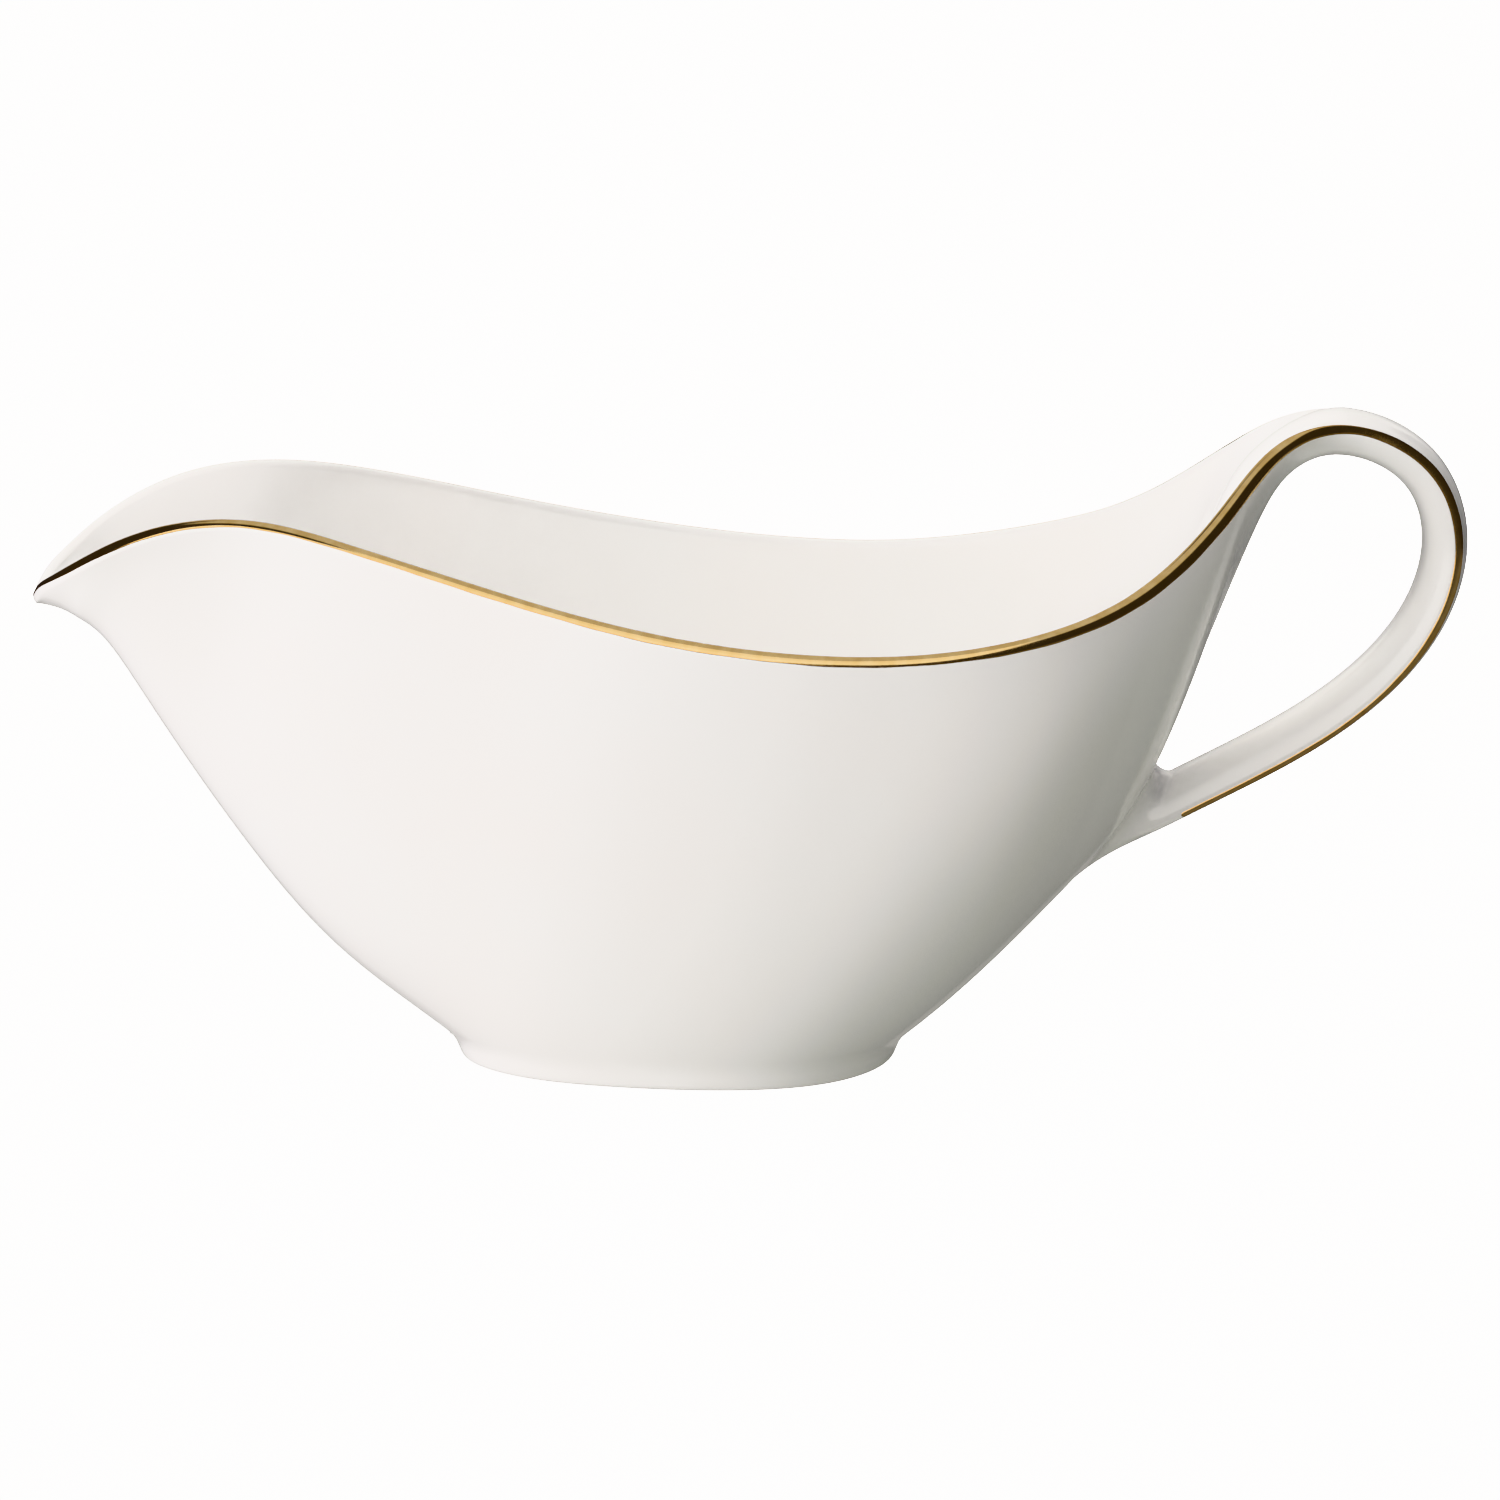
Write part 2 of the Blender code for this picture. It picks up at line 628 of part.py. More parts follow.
def build():
    clear_scene()
    group = bpy.data.collections.new("gravy_boat")
    bpy.context.scene.collection.children.link(group)
    bowl(material("bowl_china", (0.90, 0.89, 0.87), 0.0, 0.08))
    handle(material("handle_china", (0.89, 0.88, 0.86), 0.0, 0.08))
    foot_ring(material("foot_china", (0.86, 0.85, 0.83), 0.0, 0.12))
    gold_rim_line(material("rim_gold", (0.76, 0.55, 0.22), 1.0, 0.18))
    for side, name in ((-1.0, "left"), (1.0, "right")):
        look = material(f"{name}_gold", (0.75, 0.54, 0.21), 1.0, 0.18)
        gold_handle_line(f"gold_handle_line_{name}", side, look)


build()
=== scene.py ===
"""Gravy boat: the looks.  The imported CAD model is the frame; every piece here is a finer skin
over its solids, in glazed china and burnished gold, with the camera, the floor and the lights."""

import bmesh
import bpy
import numpy as np
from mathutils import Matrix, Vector


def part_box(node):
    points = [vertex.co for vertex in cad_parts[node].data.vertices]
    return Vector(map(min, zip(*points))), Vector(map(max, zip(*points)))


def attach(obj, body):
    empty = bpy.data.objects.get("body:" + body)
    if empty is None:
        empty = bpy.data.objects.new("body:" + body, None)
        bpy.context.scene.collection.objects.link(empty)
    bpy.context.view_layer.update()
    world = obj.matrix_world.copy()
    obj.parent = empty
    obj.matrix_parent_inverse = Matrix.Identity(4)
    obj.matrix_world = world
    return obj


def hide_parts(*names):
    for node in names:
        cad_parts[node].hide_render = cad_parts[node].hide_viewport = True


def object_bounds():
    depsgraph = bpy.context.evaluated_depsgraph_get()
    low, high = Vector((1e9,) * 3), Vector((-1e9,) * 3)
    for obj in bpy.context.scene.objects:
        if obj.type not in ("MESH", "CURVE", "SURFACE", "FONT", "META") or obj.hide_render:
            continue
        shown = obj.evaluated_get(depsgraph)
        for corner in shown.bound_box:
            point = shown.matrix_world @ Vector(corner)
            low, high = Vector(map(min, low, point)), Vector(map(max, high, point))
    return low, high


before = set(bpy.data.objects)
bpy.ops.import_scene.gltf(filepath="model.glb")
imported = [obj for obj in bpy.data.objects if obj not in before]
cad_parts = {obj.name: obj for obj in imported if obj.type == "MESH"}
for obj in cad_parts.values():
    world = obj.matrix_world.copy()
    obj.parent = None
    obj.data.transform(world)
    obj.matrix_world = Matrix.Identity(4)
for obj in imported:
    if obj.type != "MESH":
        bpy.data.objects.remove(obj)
cad_low, cad_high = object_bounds()
foot_low, foot_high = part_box("foot_ring")

# Driving sizes in millimetres, from the frame.  The outline below is drawn in percent of a
# pattern that is slightly longer and narrower than the finished box.
LENGTH = 1000 * (cad_high[0] - cad_low[0]) * 1.0035
WIDTH = 1000 * (cad_high[1] - cad_low[1]) * 0.9686
HEIGHT = 1000 * (cad_high[2] - cad_low[2]) * 0.9998
FOOT_LENGTH = 1000 * (foot_high[0] - foot_low[0])
FOOT_WIDTH = 1000 * (foot_high[1] - foot_low[1])
FOOT_HEIGHT = 1000 * foot_high[2]
FOOT_CENTRE = 500 * (foot_high[0] + foot_low[0])
WALL = 2.9
GAP = 0.3
STRAP = 13.9
STRAP_SIDE = 1.9
STRAP_CROWN = 1.15
STRAP_BULGE = 4.5

# Shapes of the curves, as shares of the distance that each one spans: how far the wall keeps
# its direction below the edge, how much further on the strap, how far the outside runs level
# from its middle line, how round the edge is, and how flat it is on top of the strap.
WALL_PULL = 0.44
STRAP_PULL = 0.11
UNDER_PULL = 0.57
EDGE_PULL = 0.55
EDGE_FLAT = 0.25
# The same for the handle's root: how round its flare is, how far up the root the strap's own
# direction is kept, and where its middle lies between its tail and its top.
FLARE_PULL = 0.42
FLARE_CARRY = 0.55
ROOT_MIDDLE = 0.6
# Length of the strap before the wall over which its inner face is drawn back, and how far past
# the edge that starts.
DRAWN_BACK = 14.0
PAST_EDGE = 0.5
# Distances over which directions are measured: of the edge, of a face along the edge, of the
# edge's start at the tip and of the back wall.
NEAR = 0.1
FACE_NEAR = 0.15
TIP_NEAR = 0.6
WALL_NEAR = 0.4
# Stations this close to the tip are the tip itself.
AT_TIP = 1e-6
# The most that a section swings along the edge for each millimetre down it.
MOST_SLANT = 1.2
MIRROR = np.array((1.0, -1.0, 1.0))

HALF = (0.5 * LENGTH, 0.5 * WIDTH, HEIGHT)
STRAP_W = 50.0 * STRAP / HALF[1]

# Key stations along the edge that carries the gold line, from the tip of the spout over the
# rim and round the handle.  Each row: along, half width, height, in percent of half the
# length, half the width and the height.
EDGE = (
    (-99.5, 0.0, 72.3),
    (-98.5, 12.5, 74.3),
    (-96.3, 23.6, 76.6),
    (-92.4, 35.8, 79.8),
    (-87.2, 43.4, 83.2),
    (-79.0, 49.6, 86.6),
    (-68.6, 55.4, 87.8),
    (-54.8, 68.2, 85.5),
    (-34.4, 83.9, 79.8),
    (-14.1, 96.0, 74.8),
    (6.0, 100.0, 71.9),
    (19.5, 99.2, 71.5),
    (33.0, 96.1, 72.9),
    (43.1, 89.2, 75.3),
    (50.1, 79.6, 78.0),
    (57.0, 65.9, 82.3),
    (64.2, 46.5, 88.8),
    (67.8, 34.8, 92.4),
    (71.5, 25.8, 95.4),
    (76.2, 19.4, 97.6),
    (82.1, STRAP_W, 98.1),
    (88.9, STRAP_W, 96.0),
    (94.4, STRAP_W, 91.2),
    (97.7, STRAP_W, 81.6),
    (95.1, STRAP_W, 68.4),
    (86.4, STRAP_W, 56.6),
    (76.1, STRAP_W, 48.6),
    (65.7, STRAP_W, 42.5),
    (58.3, STRAP_W, 38.4),
)
FOOT_FRONT, FOOT_BACK, CREST, LAST = 9, 13, 20, len(EDGE) - 1

# Middle line of the outside of the bowl for the stations before and after the foot, and of
# the inside for all stations up to the crest: along and height, in the same percentages.
# Both leave out the first station, the spout's tip, where they start at the edge itself.
KEEL_FRONT = (
    (-97.6, 70.2),
    (-95.8, 69.9),
    (-93.1, 68.6),
    (-90.0, 65.8),
    (-85.5, 58.5),
    (-79.5, 48.0),
    (-70.3, 33.4),
    (-56.9, 16.5),
)
# Over the foot the keel dips under the bowl's flat underside, which cuts it off level.
KEEL_FOOT = ((-42.1, 3.8), (-27.5, -6.5), (-10.3, -10.8), (7.2, -6.5), (21.7, 3.8))
KEEL_BACK = ((31.8, 13.2), (43.5, 26.0), (54.8, 42.2), (59.8, 55.7), (66.4, 74.6), (72.3, 88.7))
FLOOR = (
    (-96.6, 73.0),
    (-94.3, 72.3),
    (-91.0, 70.6),
    (-87.7, 67.6),
    (-83.0, 60.2),
    (-77.2, 49.6),
    (-68.1, 35.2),
    (-55.0, 18.8),
    (-41.5, 8.6),
    (-26.0, 6.5),
    (-10.0, 6.2),
    (6.5, 6.6),
    (20.5, 8.6),
    (30.2, 15.9),
    (41.6, 28.2),
    (52.5, 43.8),
    (57.2, 58.4),
    (62.4, 78.0),
    (68.8, 92.8),
)
# How the wall leaves the edge at each key station, in degrees: 90 is straight down, 0 is
# level towards the middle, as on the strap.
LEAN = (102, 94, 85, 75, 72, 75, 80, 84, 86, 87, 87, 87, 87, 86, 84, 78, 68, 60, 49, 30, 2)
# How far the outer face turns away from that direction: 0 on the bowl, near 90 on the strap.
TURN = (0, 0, 0, 0, 0, 0, 0, 0, 0, 0, 0, 0, 0, 0, 0, 0, 0, 0, 5, 25, 76)


def spline(knots, values, first_slope=None, last_slope=None):
    """Cubic spline through the values, natural at an end unless its slope is given."""
    knots = np.asarray(knots, float)
    values = np.asarray(values, float).reshape(len(knots), -1)
    step = np.diff(knots)
    count = len(knots)
    matrix = np.eye(count)
    right = np.zeros_like(values)
    for i in range(1, count - 1):
        matrix[i, i - 1 : i + 2] = step[i - 1], 2 * (step[i - 1] + step[i]), step[i]
        slope_after = (values[i + 1] - values[i]) / step[i]
        right[i] = 6 * (slope_after - (values[i] - values[i - 1]) / step[i - 1])
    if first_slope is not None:
        matrix[0, :2] = 2 * step[0], step[0]
        right[0] = 6 * ((values[1] - values[0]) / step[0] - first_slope)
    if last_slope is not None:
        matrix[-1, -2:] = step[-1], 2 * step[-1]
        right[-1] = 6 * (last_slope - (values[-1] - values[-2]) / step[-1])
    bend = np.linalg.solve(matrix, right)

    def at(where):
        where = np.atleast_1d(np.asarray(where, float))
        i = np.clip(np.searchsorted(knots, where) - 1, 0, count - 2)
        h = step[i][:, None]
        a = (knots[i + 1] - where)[:, None] / h
        b = 1 - a
        curve = (a**3 - a) * bend[i] + (b**3 - b) * bend[i + 1]
        return a * values[i] + b * values[i + 1] + curve * h * h / 6

    return at


def scaled(rows):
    """Percent rows to millimetres: (along, height) or (along, half width, height)."""
    rows = np.array(rows, float) / 100
    sizes = HALF if rows.shape[1] == 3 else (HALF[0], HALF[2])
    return rows * np.array(sizes)


def unit(v):
    return v / np.linalg.norm(v, axis=-1, keepdims=True)


def even(count):
    return np.linspace(0, 1, count)


def bezier(points, steps, share=1.0):
    """Points along cubic Beziers, or a share of each; each control point is an (n, 3) array."""
    share = np.broadcast_to(share, len(points[0]))
    t = (share[:, None] * steps)[:, :, None]
    a, b, c, d = (np.asarray(point)[:, None, :] for point in points)
    return (1 - t) ** 3 * a + 3 * t * (1 - t) ** 2 * b + 3 * t * t * (1 - t) * c + t**3 * d


EDGE_MM = scaled(EDGE)
KNOTS = np.concatenate([[0], np.cumsum(np.linalg.norm(np.diff(EDGE_MM, axis=0), axis=1))])
SPLIT = KNOTS[CREST]
# At the spout's tip the edge runs straight across, so that both sides meet in a round lip.
edge_at = spline(KNOTS, EDGE_MM, first_slope=(0.0, 1.0, 0.0))


def channel(values):
    """A value per key station up to the crest, held constant along the strap."""
    values = list(values) + [values[-1]] * (len(KNOTS) - len(values))
    smooth = spline(KNOTS, values)

    def at(where):
        return np.clip(smooth(where), min(values), max(values))

    return at


def frames(where):
    """Edge points, edge direction, direction into the wall and direction out of its outer face."""
    where = np.asarray(where, float)
    point = edge_at(where)
    ahead = edge_at(np.minimum(where + NEAR / 2, KNOTS[-1]))
    behind = edge_at(np.maximum(where - NEAR / 2, 0.0))
    along = unit(ahead - behind)
    first = where < AT_TIP
    along[first] = (0.0, 1.0, 0.0)
    level = along * along[:, 1:2] - np.array((0.0, 1.0, 0.0))
    tip = unit(edge_at([TIP_NEAR]) - edge_at([0.0]))[0] * np.array((1.0, 0.0, 1.0))
    level[first] = tip
    level = unit(level)
    down = np.cross(along, level)
    lean = np.radians(lean_at(where))
    into = np.cos(lean) * level + np.sin(lean) * down
    out = np.cross(along, into)
    return point, along, into, out


lean_at = channel(LEAN)
turn_at = channel(TURN)
BOWL_STATIONS = CREST - 2
rounding_at = channel([WALL / 2] * BOWL_STATIONS + [1.2, 0.9, 0.6])
half_side_at = channel([WALL / 2] * BOWL_STATIONS + [1.35, 1.15, STRAP_SIDE / 2])
shoulder_at = channel([WALL / 2] * BOWL_STATIONS + [1.0, 0.5, 0.05])
crown_slope_at = channel([0.0] * BOWL_STATIONS + [0.0, 2.0, 16.0])


# Millimetres that the middle lines of the inside and the outside move for each one of the edge
# as they reach the crest.
FLOOR_SPEED, KEEL_SPEED = 2.2, 1.7


def tip_edges():
    """Where the inner and the outer face start at the spout's tip: along and height."""
    point, _, into, out = frames([0.0])
    low = point + into * WALL / 2
    return (low - out * WALL / 2)[:, ::2], (low + out * WALL / 2)[:, ::2]


def beside_strap(where, lift):
    """Middle line of one of the strap's faces, that far from the line its edges lie on."""
    point, _, _, out = frames(where)
    return point[:, ::2] + out[:, ::2] * lift


def middle_line(tip, rows, lift, speed):
    """Middle line of a face: through the tip and the rows to the crest, then along the strap."""
    crest = beside_strap([SPLIT], lift)
    ahead = unit(beside_strap([SPLIT + NEAR], lift) - crest)[0] * speed
    shape = spline(KNOTS[: CREST + 1], np.vstack([tip, scaled(rows), crest]), last_slope=ahead)

    def at(where):
        where = np.atleast_1d(np.asarray(where, float))
        before = shape(np.minimum(where, SPLIT))
        return np.where(where[:, None] < SPLIT, before, beside_strap(where, lift))

    return at


INNER_TIP, OUTER_TIP = tip_edges()
UNDERSIDE = FOOT_HEIGHT + GAP
floor_at = middle_line(INNER_TIP, FLOOR, -STRAP_SIDE / 2 - STRAP_CROWN, FLOOR_SPEED)
KEEL = KEEL_FRONT + KEEL_FOOT + KEEL_BACK
keel_line_at = middle_line(OUTER_TIP, KEEL, STRAP_SIDE / 2 + STRAP_BULGE, KEEL_SPEED)
# How far the floor stays level before the inner wall rises, as a share of the half width.
LEVEL = [0.57] * 7 + [0.58, 0.61, 0.66, 0.71, 0.73, 0.71, 0.66, 0.61, 0.58] + [0.56] * 5
level_at = channel(LEVEL)


def section_slant(point, keel, along, into):
    """How far each section swings along the edge so that it runs straight to its keel point."""
    aim = (keel - point)[:, ::2]
    across = along[:, 0] * aim[:, 1] - along[:, 2] * aim[:, 0]
    swing = into[:, 0] * aim[:, 1] - into[:, 2] * aim[:, 0]
    slant = np.where(np.abs(across) > 1e-3, swing / np.where(across == 0, 1, across), 0)
    return np.clip(slant, -MOST_SLANT, MOST_SLANT)[:, None]


def cut_level(points, where):
    """Share of each outer curve that lies above the flat underside, which ends it there."""
    curve = bezier(points, even(400))[:, :, 2]
    share = np.ones(len(where))
    for i in np.nonzero(curve[:, -1] < UNDERSIDE)[0]:
        share[i] = np.interp(-UNDERSIDE, -curve[i], even(400))
    return share


def sections(where, inner_steps, band_steps, outer_steps):
    """Half sections at the given places, from the inside middle over the edge to the keel."""
    where = np.asarray(where, float)
    point, along, into, out = frames(where)
    turn = np.radians(turn_at(where))
    slope = np.radians(crown_slope_at(where))
    half_side = half_side_at(where)
    rounding = rounding_at(where)
    shoulder = shoulder_at(where)
    side = np.array((0.0, 1.0, 0.0))
    floor = np.zeros_like(point)
    floor[:, ::2] = floor_at(where)
    keel = np.zeros_like(point)
    keel[:, ::2] = keel_line_at(where)
    inner_edge = point + into * rounding - out * half_side
    outer_edge = point + into * shoulder + out * half_side
    slant = section_slant(point, keel, along, into)
    arrive = unit(-into * np.cos(slope) + out * np.sin(slope) + slant * along)
    leave = unit(into * np.cos(turn) + out * np.sin(turn) - slant * along)
    tip = where < AT_TIP
    floor[tip] = inner_edge[tip]
    keel[tip] = outer_edge[tip]
    fade = np.clip(where / KNOTS[3], 0, 1)[:, None] ** 0.5
    reach = WALL_PULL * np.abs(np.sum((inner_edge - floor) * arrive, axis=1, keepdims=True))
    wide = level_at(where) * inner_edge[:, 1:2]
    level_end = floor + side * wide * fade
    rise_start = inner_edge - arrive * reach * fade
    inner = bezier((floor, level_end, rise_start, inner_edge), inner_steps)
    flat = (EDGE_PULL + EDGE_FLAT * np.sin(turn)) * half_side
    start = inner_edge + arrive * EDGE_PULL * rounding
    end = outer_edge - leave * EDGE_PULL * shoulder
    over = bezier((inner_edge, start, point - out * flat, point), band_steps)
    under = bezier((point, point + out * flat, end, outer_edge), band_steps)
    reach = np.abs(np.sum((outer_edge - keel) * leave, axis=1, keepdims=True))
    round_down = (WALL_PULL + STRAP_PULL * np.sin(turn)) * reach * fade
    round_in = UNDER_PULL * outer_edge[:, 1:2] * fade
    curve = (outer_edge, outer_edge + leave * round_down, keel + side * round_in, keel)
    outer = bezier(curve, outer_steps, cut_level(curve, where))
    return inner, over, under, outer


# Gold line: where it starts and ends across the edge, as arc lengths from the edge point.
GOLD_FROM = [0.0, -0.05, -0.1, -0.15] + [-0.2] * 11 + [-0.35, -0.7, -1.0, -1.1, -0.95, -0.85]
GOLD_TO = [0.9, 1.0, 1.2, 1.4, 1.5, 1.6, 1.65, 1.7, 1.85, 2.0, 2.1, 2.2, 2.4, 2.7, 3.0, 3.1, 3.1]
GOLD_TO += [2.9, 2.1, 1.3, 0.75]
# Along the strap, from the crest to the end of the line.
STRAP_FROM = [-0.85] * (LAST - CREST)
STRAP_TO = [0.75, 0.7, 0.65, 0.5, 0.25, 0.2, 0.2, 0.2]
gold_from_at = channel(GOLD_FROM + STRAP_FROM)
gold_to_at = channel(GOLD_TO + STRAP_TO)

GOLD_END = KNOTS[LAST] - 2.0
ROOT_TAIL, ROOT_TOP = 0.237 * HEIGHT, 0.466 * HEIGHT
ROOT_WIDE = 8.3
ROOT_PULL = 4.5


def joined(inner, over, under, outer):
    """Half sections in one piece, each point where two of their curves meet kept once."""
    return np.concatenate([inner, over[:, 1:], under[:, 1:], outer[:, 1:]], axis=1)


def dense_half(where):
    """Fine half sections with the arc length of each point, measured from the edge point."""
    inner, over, under, outer = sections(where, even(60), even(40), even(90))
    points = joined(inner, over, under, outer)
    steps = np.linalg.norm(np.diff(points, axis=1), axis=2)
    length = np.concatenate([np.zeros((len(points), 1)), np.cumsum(steps, axis=1)], axis=1)
    edge = inner.shape[1] + over.shape[1] - 2
    return points, length - length[:, edge : edge + 1]


def at_lengths(points, length, wanted):
    """Points of each half section at the wanted arc lengths."""
    found = np.zeros(wanted.shape + (3,))
    for i in range(len(points)):
        spread = length[i] + np.arange(length.shape[1]) * 1e-9
        for axis in range(3):
            found[i, :, axis] = np.interp(wanted[i], spread, points[i, :, axis])
    return found


def face_normals(where, wanted):
    """Unit normals out of the china at the wanted arc lengths of each half section."""
    before = np.maximum(where - FACE_NEAR, 0.0)
    after = before + 2 * FACE_NEAR
    grids = []
    for place in (before, where, after):
        points, length = dense_half(place)
        low = np.clip(wanted, length[:, :1], length[:, -1:])
        grids.append(at_lengths(points, length, low))
    points, length = dense_half(where)
    ahead = at_lengths(points, length, np.clip(wanted + NEAR, length[:, :1], length[:, -1:]))
    behind = at_lengths(points, length, np.clip(wanted - NEAR, length[:, :1], length[:, -1:]))
    normal = np.cross(grids[2] - grids[0], ahead - behind)
    normal[where < AT_TIP, :, 1] = 0.0
    return unit(normal + 1e-12)


def rings(half):
    """Closed rings from half sections: out along one side and back along the other."""
    return np.concatenate([half, half[:, ::-1] * MIRROR], axis=1)


def back_wall(height, side):
    """Points of the bowl's outer face behind the foot, by keel height and sideways place."""
    places = np.linspace(KNOTS[FOOT_BACK], KNOTS[FOOT_BACK + 5], 90)
    where = np.interp(height, keel_line_at(places)[:, 1], places)
    rising = sections(where, even(3), even(3), even(120))[3][:, ::-1][:, :80]
    found = np.zeros((len(where), 3))
    for i in range(len(where)):
        for axis in range(3):
            found[i, axis] = np.interp(abs(side[i]), rising[i, :, 1], rising[i, :, axis])
    found[:, 1] *= np.where(side < 0, -1.0, 1.0)
    return found


def back_normal(height, side):
    up = back_wall(height + WALL_NEAR, side) - back_wall(height - WALL_NEAR, side)
    across = back_wall(height, side + WALL_NEAR) - back_wall(height, side - WALL_NEAR)
    return unit(np.cross(across, up))


def footprint(share):
    """Outline of the handle's root on the wall: keel height and half width, tail to top."""
    share = np.asarray(share, float)
    tail = np.array(((0.0, 0.0), (0.02, 0.62), (0.40, 1.0), (0.70, 1.0)))
    top = np.array(((0.70, 1.0), (0.88, 1.0), (1.0, 0.62), (1.0, 0.0)))
    rows = []
    for value in share:
        ends, t = (tail, value / 0.6) if value < 0.6 else (top, (value - 0.6) / 0.4)
        weights = ((1 - t) ** 3, 3 * t * (1 - t) ** 2, 3 * t * t * (1 - t), t**3)
        rows.append(sum(weight * end for weight, end in zip(weights, ends)))
    rows = np.array(rows)
    return ROOT_TAIL + (ROOT_TOP - ROOT_TAIL) * rows[:, 0], ROOT_WIDE * rows[:, 1]


def root_half(last, before, count, lift):
    """Half rings that flare from the end of the strap on to the wall, short of it by the lift."""
    lengths = np.concatenate([[0], np.cumsum(np.linalg.norm(np.diff(last, axis=0), axis=1))])
    height, side = footprint(lengths / lengths[-1])
    wall = back_wall(height, side)
    normal = back_normal(height, side)
    run = np.gradient(wall, axis=0)
    run[0] = (0.0, 1.0, 0.0)
    run[-1] = (0.0, -1.0, 0.0)
    spread = unit(np.cross(normal, unit(run)))
    centre = ROOT_TAIL + (ROOT_TOP - ROOT_TAIL) * ROOT_MIDDLE
    middle = back_wall(np.array([centre]), np.array([0.0]))
    spread *= np.sign(np.sum(spread * (wall - middle), axis=1, keepdims=True))
    wall = wall + normal * lift
    heading = unit(last - before)
    flow = heading - normal * np.sum(heading * normal, axis=1, keepdims=True)
    carry = np.clip(1 - lengths / lengths[-1] / FLARE_CARRY, 0, 1)[:, None]
    carry = carry * carry * (3 - 2 * carry)
    spread = unit(unit(flow) * carry + spread * (1 - carry))
    apart = np.linalg.norm(wall - last, axis=1, keepdims=True)
    start = last + heading * apart * FLARE_PULL
    end = wall - spread * apart * FLARE_PULL
    flare = bezier((last, start, end, wall), even(count))
    return np.swapaxes(flare, 0, 1)[1:]


# MESHES
def mesh_piece(name, points, faces, look, **channels):
    """One closed, smooth shaded piece in metres; channels are values kept per vertex."""
    mesh = bpy.data.meshes.new(name)
    mesh.from_pydata((np.asarray(points) * 0.001).tolist(), [], faces)
    for title, values in channels.items():
        store = mesh.attributes.new(title, "FLOAT", "POINT")
        store.data.foreach_set("value", np.asarray(values, np.float32).ravel())
    work = bmesh.new()
    work.from_mesh(mesh)
    bmesh.ops.remove_doubles(work, verts=work.verts, dist=1e-6)
    bmesh.ops.dissolve_degenerate(work, edges=work.edges, dist=5e-7)
    bmesh.ops.recalc_face_normals(work, faces=work.faces)
    if work.calc_volume(signed=True) < 0:
        bmesh.ops.reverse_faces(work, faces=work.faces)
    work.to_mesh(mesh)
    work.free()
    mesh.shade_smooth()
    mesh.set_sharp_from_angle(angle=np.radians(50))
    mesh.materials.append(look)
    made = bpy.data.objects.new(name, mesh)
    bpy.context.scene.collection.objects.link(made)
    return made


def grid_faces(first, rows, columns):
    """Quads of a grid whose points are numbered row by row from the first."""
    faces = []
    for i in range(rows - 1):
        for j in range(columns - 1):
            a = first + i * columns + j
            faces.append((a, a + 1, a + columns + 1, a + columns))
    return faces


def both_sides(half, first=0):
    """Points and quads of a grid and of its mirror image, numbered from the first."""
    rows, columns = half.shape[:2]
    points = np.concatenate([half.reshape(-1, 3), (half * MIRROR).reshape(-1, 3)])
    faces = grid_faces(first, rows, columns)
    faces += [face[::-1] for face in grid_faces(first + rows * columns, rows, columns)]
    return points, faces


def cap_faces(first, around):
    """Quads across a closed ring, between each point and its mirror image."""
    half = around // 2
    faces = []
    for j in range(half - 1):
        a, b = first + j, first + around - 1 - j
        faces.append((a, a + 1, b - 1, b))
    return faces


def tube_faces(count, around):
    """Quads round a tube of rings, with both of its ends closed."""
    faces = []
    for i in range(count - 1):
        here, there = i * around, (i + 1) * around
        for j in range(around):
            k = (j + 1) % around
            faces.append((here + j, here + k, there + k, there + j))
    return faces + cap_faces(0, around) + cap_faces((count - 1) * around, around)


# Where the bowl's wall runs out into the foot: a fillet this far above and below the cut, and
# how fast the foot's side leans in below it.
FILLET = 1.5
FOOT_LEAN = 0.40
# How close the last rings lie to a piece's ends, so that its shading stays crisp there.
SEAM = 0.02
# Places down the outer wall, closest where the underside cuts it off.
OUTER_STEPS = 1 - (1 - even(70)) ** 1.6


def plan_normal(points):
    """Directions straight out from the foot's oval, in plan."""
    normal = np.zeros_like(points)
    normal[..., 0] = (points[..., 0] - FOOT_CENTRE) / FOOT_LENGTH**2
    normal[..., 1] = points[..., 1] / FOOT_WIDTH**2
    return unit(normal + 1e-12)


def wall_opening(outer):
    """How far the outer wall spreads for each millimetre it rises."""
    run = np.gradient(outer, axis=0)
    fall = np.gradient(outer, axis=1)
    normal = unit(np.cross(run, fall) + 1e-9)
    normal *= np.where(normal[..., 2:] > 0, -1.0, 1.0)
    level = np.maximum(np.hypot(normal[..., 0], normal[..., 1]), 0.3)
    return np.minimum(-normal[..., 2] / level, 2.0)


def filleted(outer):
    """The outer wall with its lowest part eased out into the foot, and how it opens there."""
    opening = wall_opening(outer)
    above = np.clip(outer[..., 2] - UNDERSIDE, 0, FILLET)
    push = (opening - FOOT_LEAN) * (FILLET - above) ** 2 / (4 * FILLET)
    return outer + plan_normal(outer) * push[..., None], opening[:, -1]


def bowl_places():
    """Stations of the bowl, closest at the spout's tip and at both ends of the foot; then the
    first station over the foot, and how many steps it is from there to the last one over it."""
    front, back = KNOTS[FOOT_FRONT], KNOTS[FOOT_BACK]
    spout = KNOTS[4] * even(46) ** 1.5
    before = front - (front - KNOTS[4]) * (1 - even(72)) ** 1.35
    over = front + (back - front) * 0.5 * (1 - np.cos(np.pi * even(96)))
    after = back + (SPLIT - back) * even(100) ** 1.25
    places = np.concatenate([spout, before[1:], over[1:], after[1:-1], [SPLIT - SEAM, SPLIT]])
    return places, len(spout) + len(before) - 2, len(over) - 1


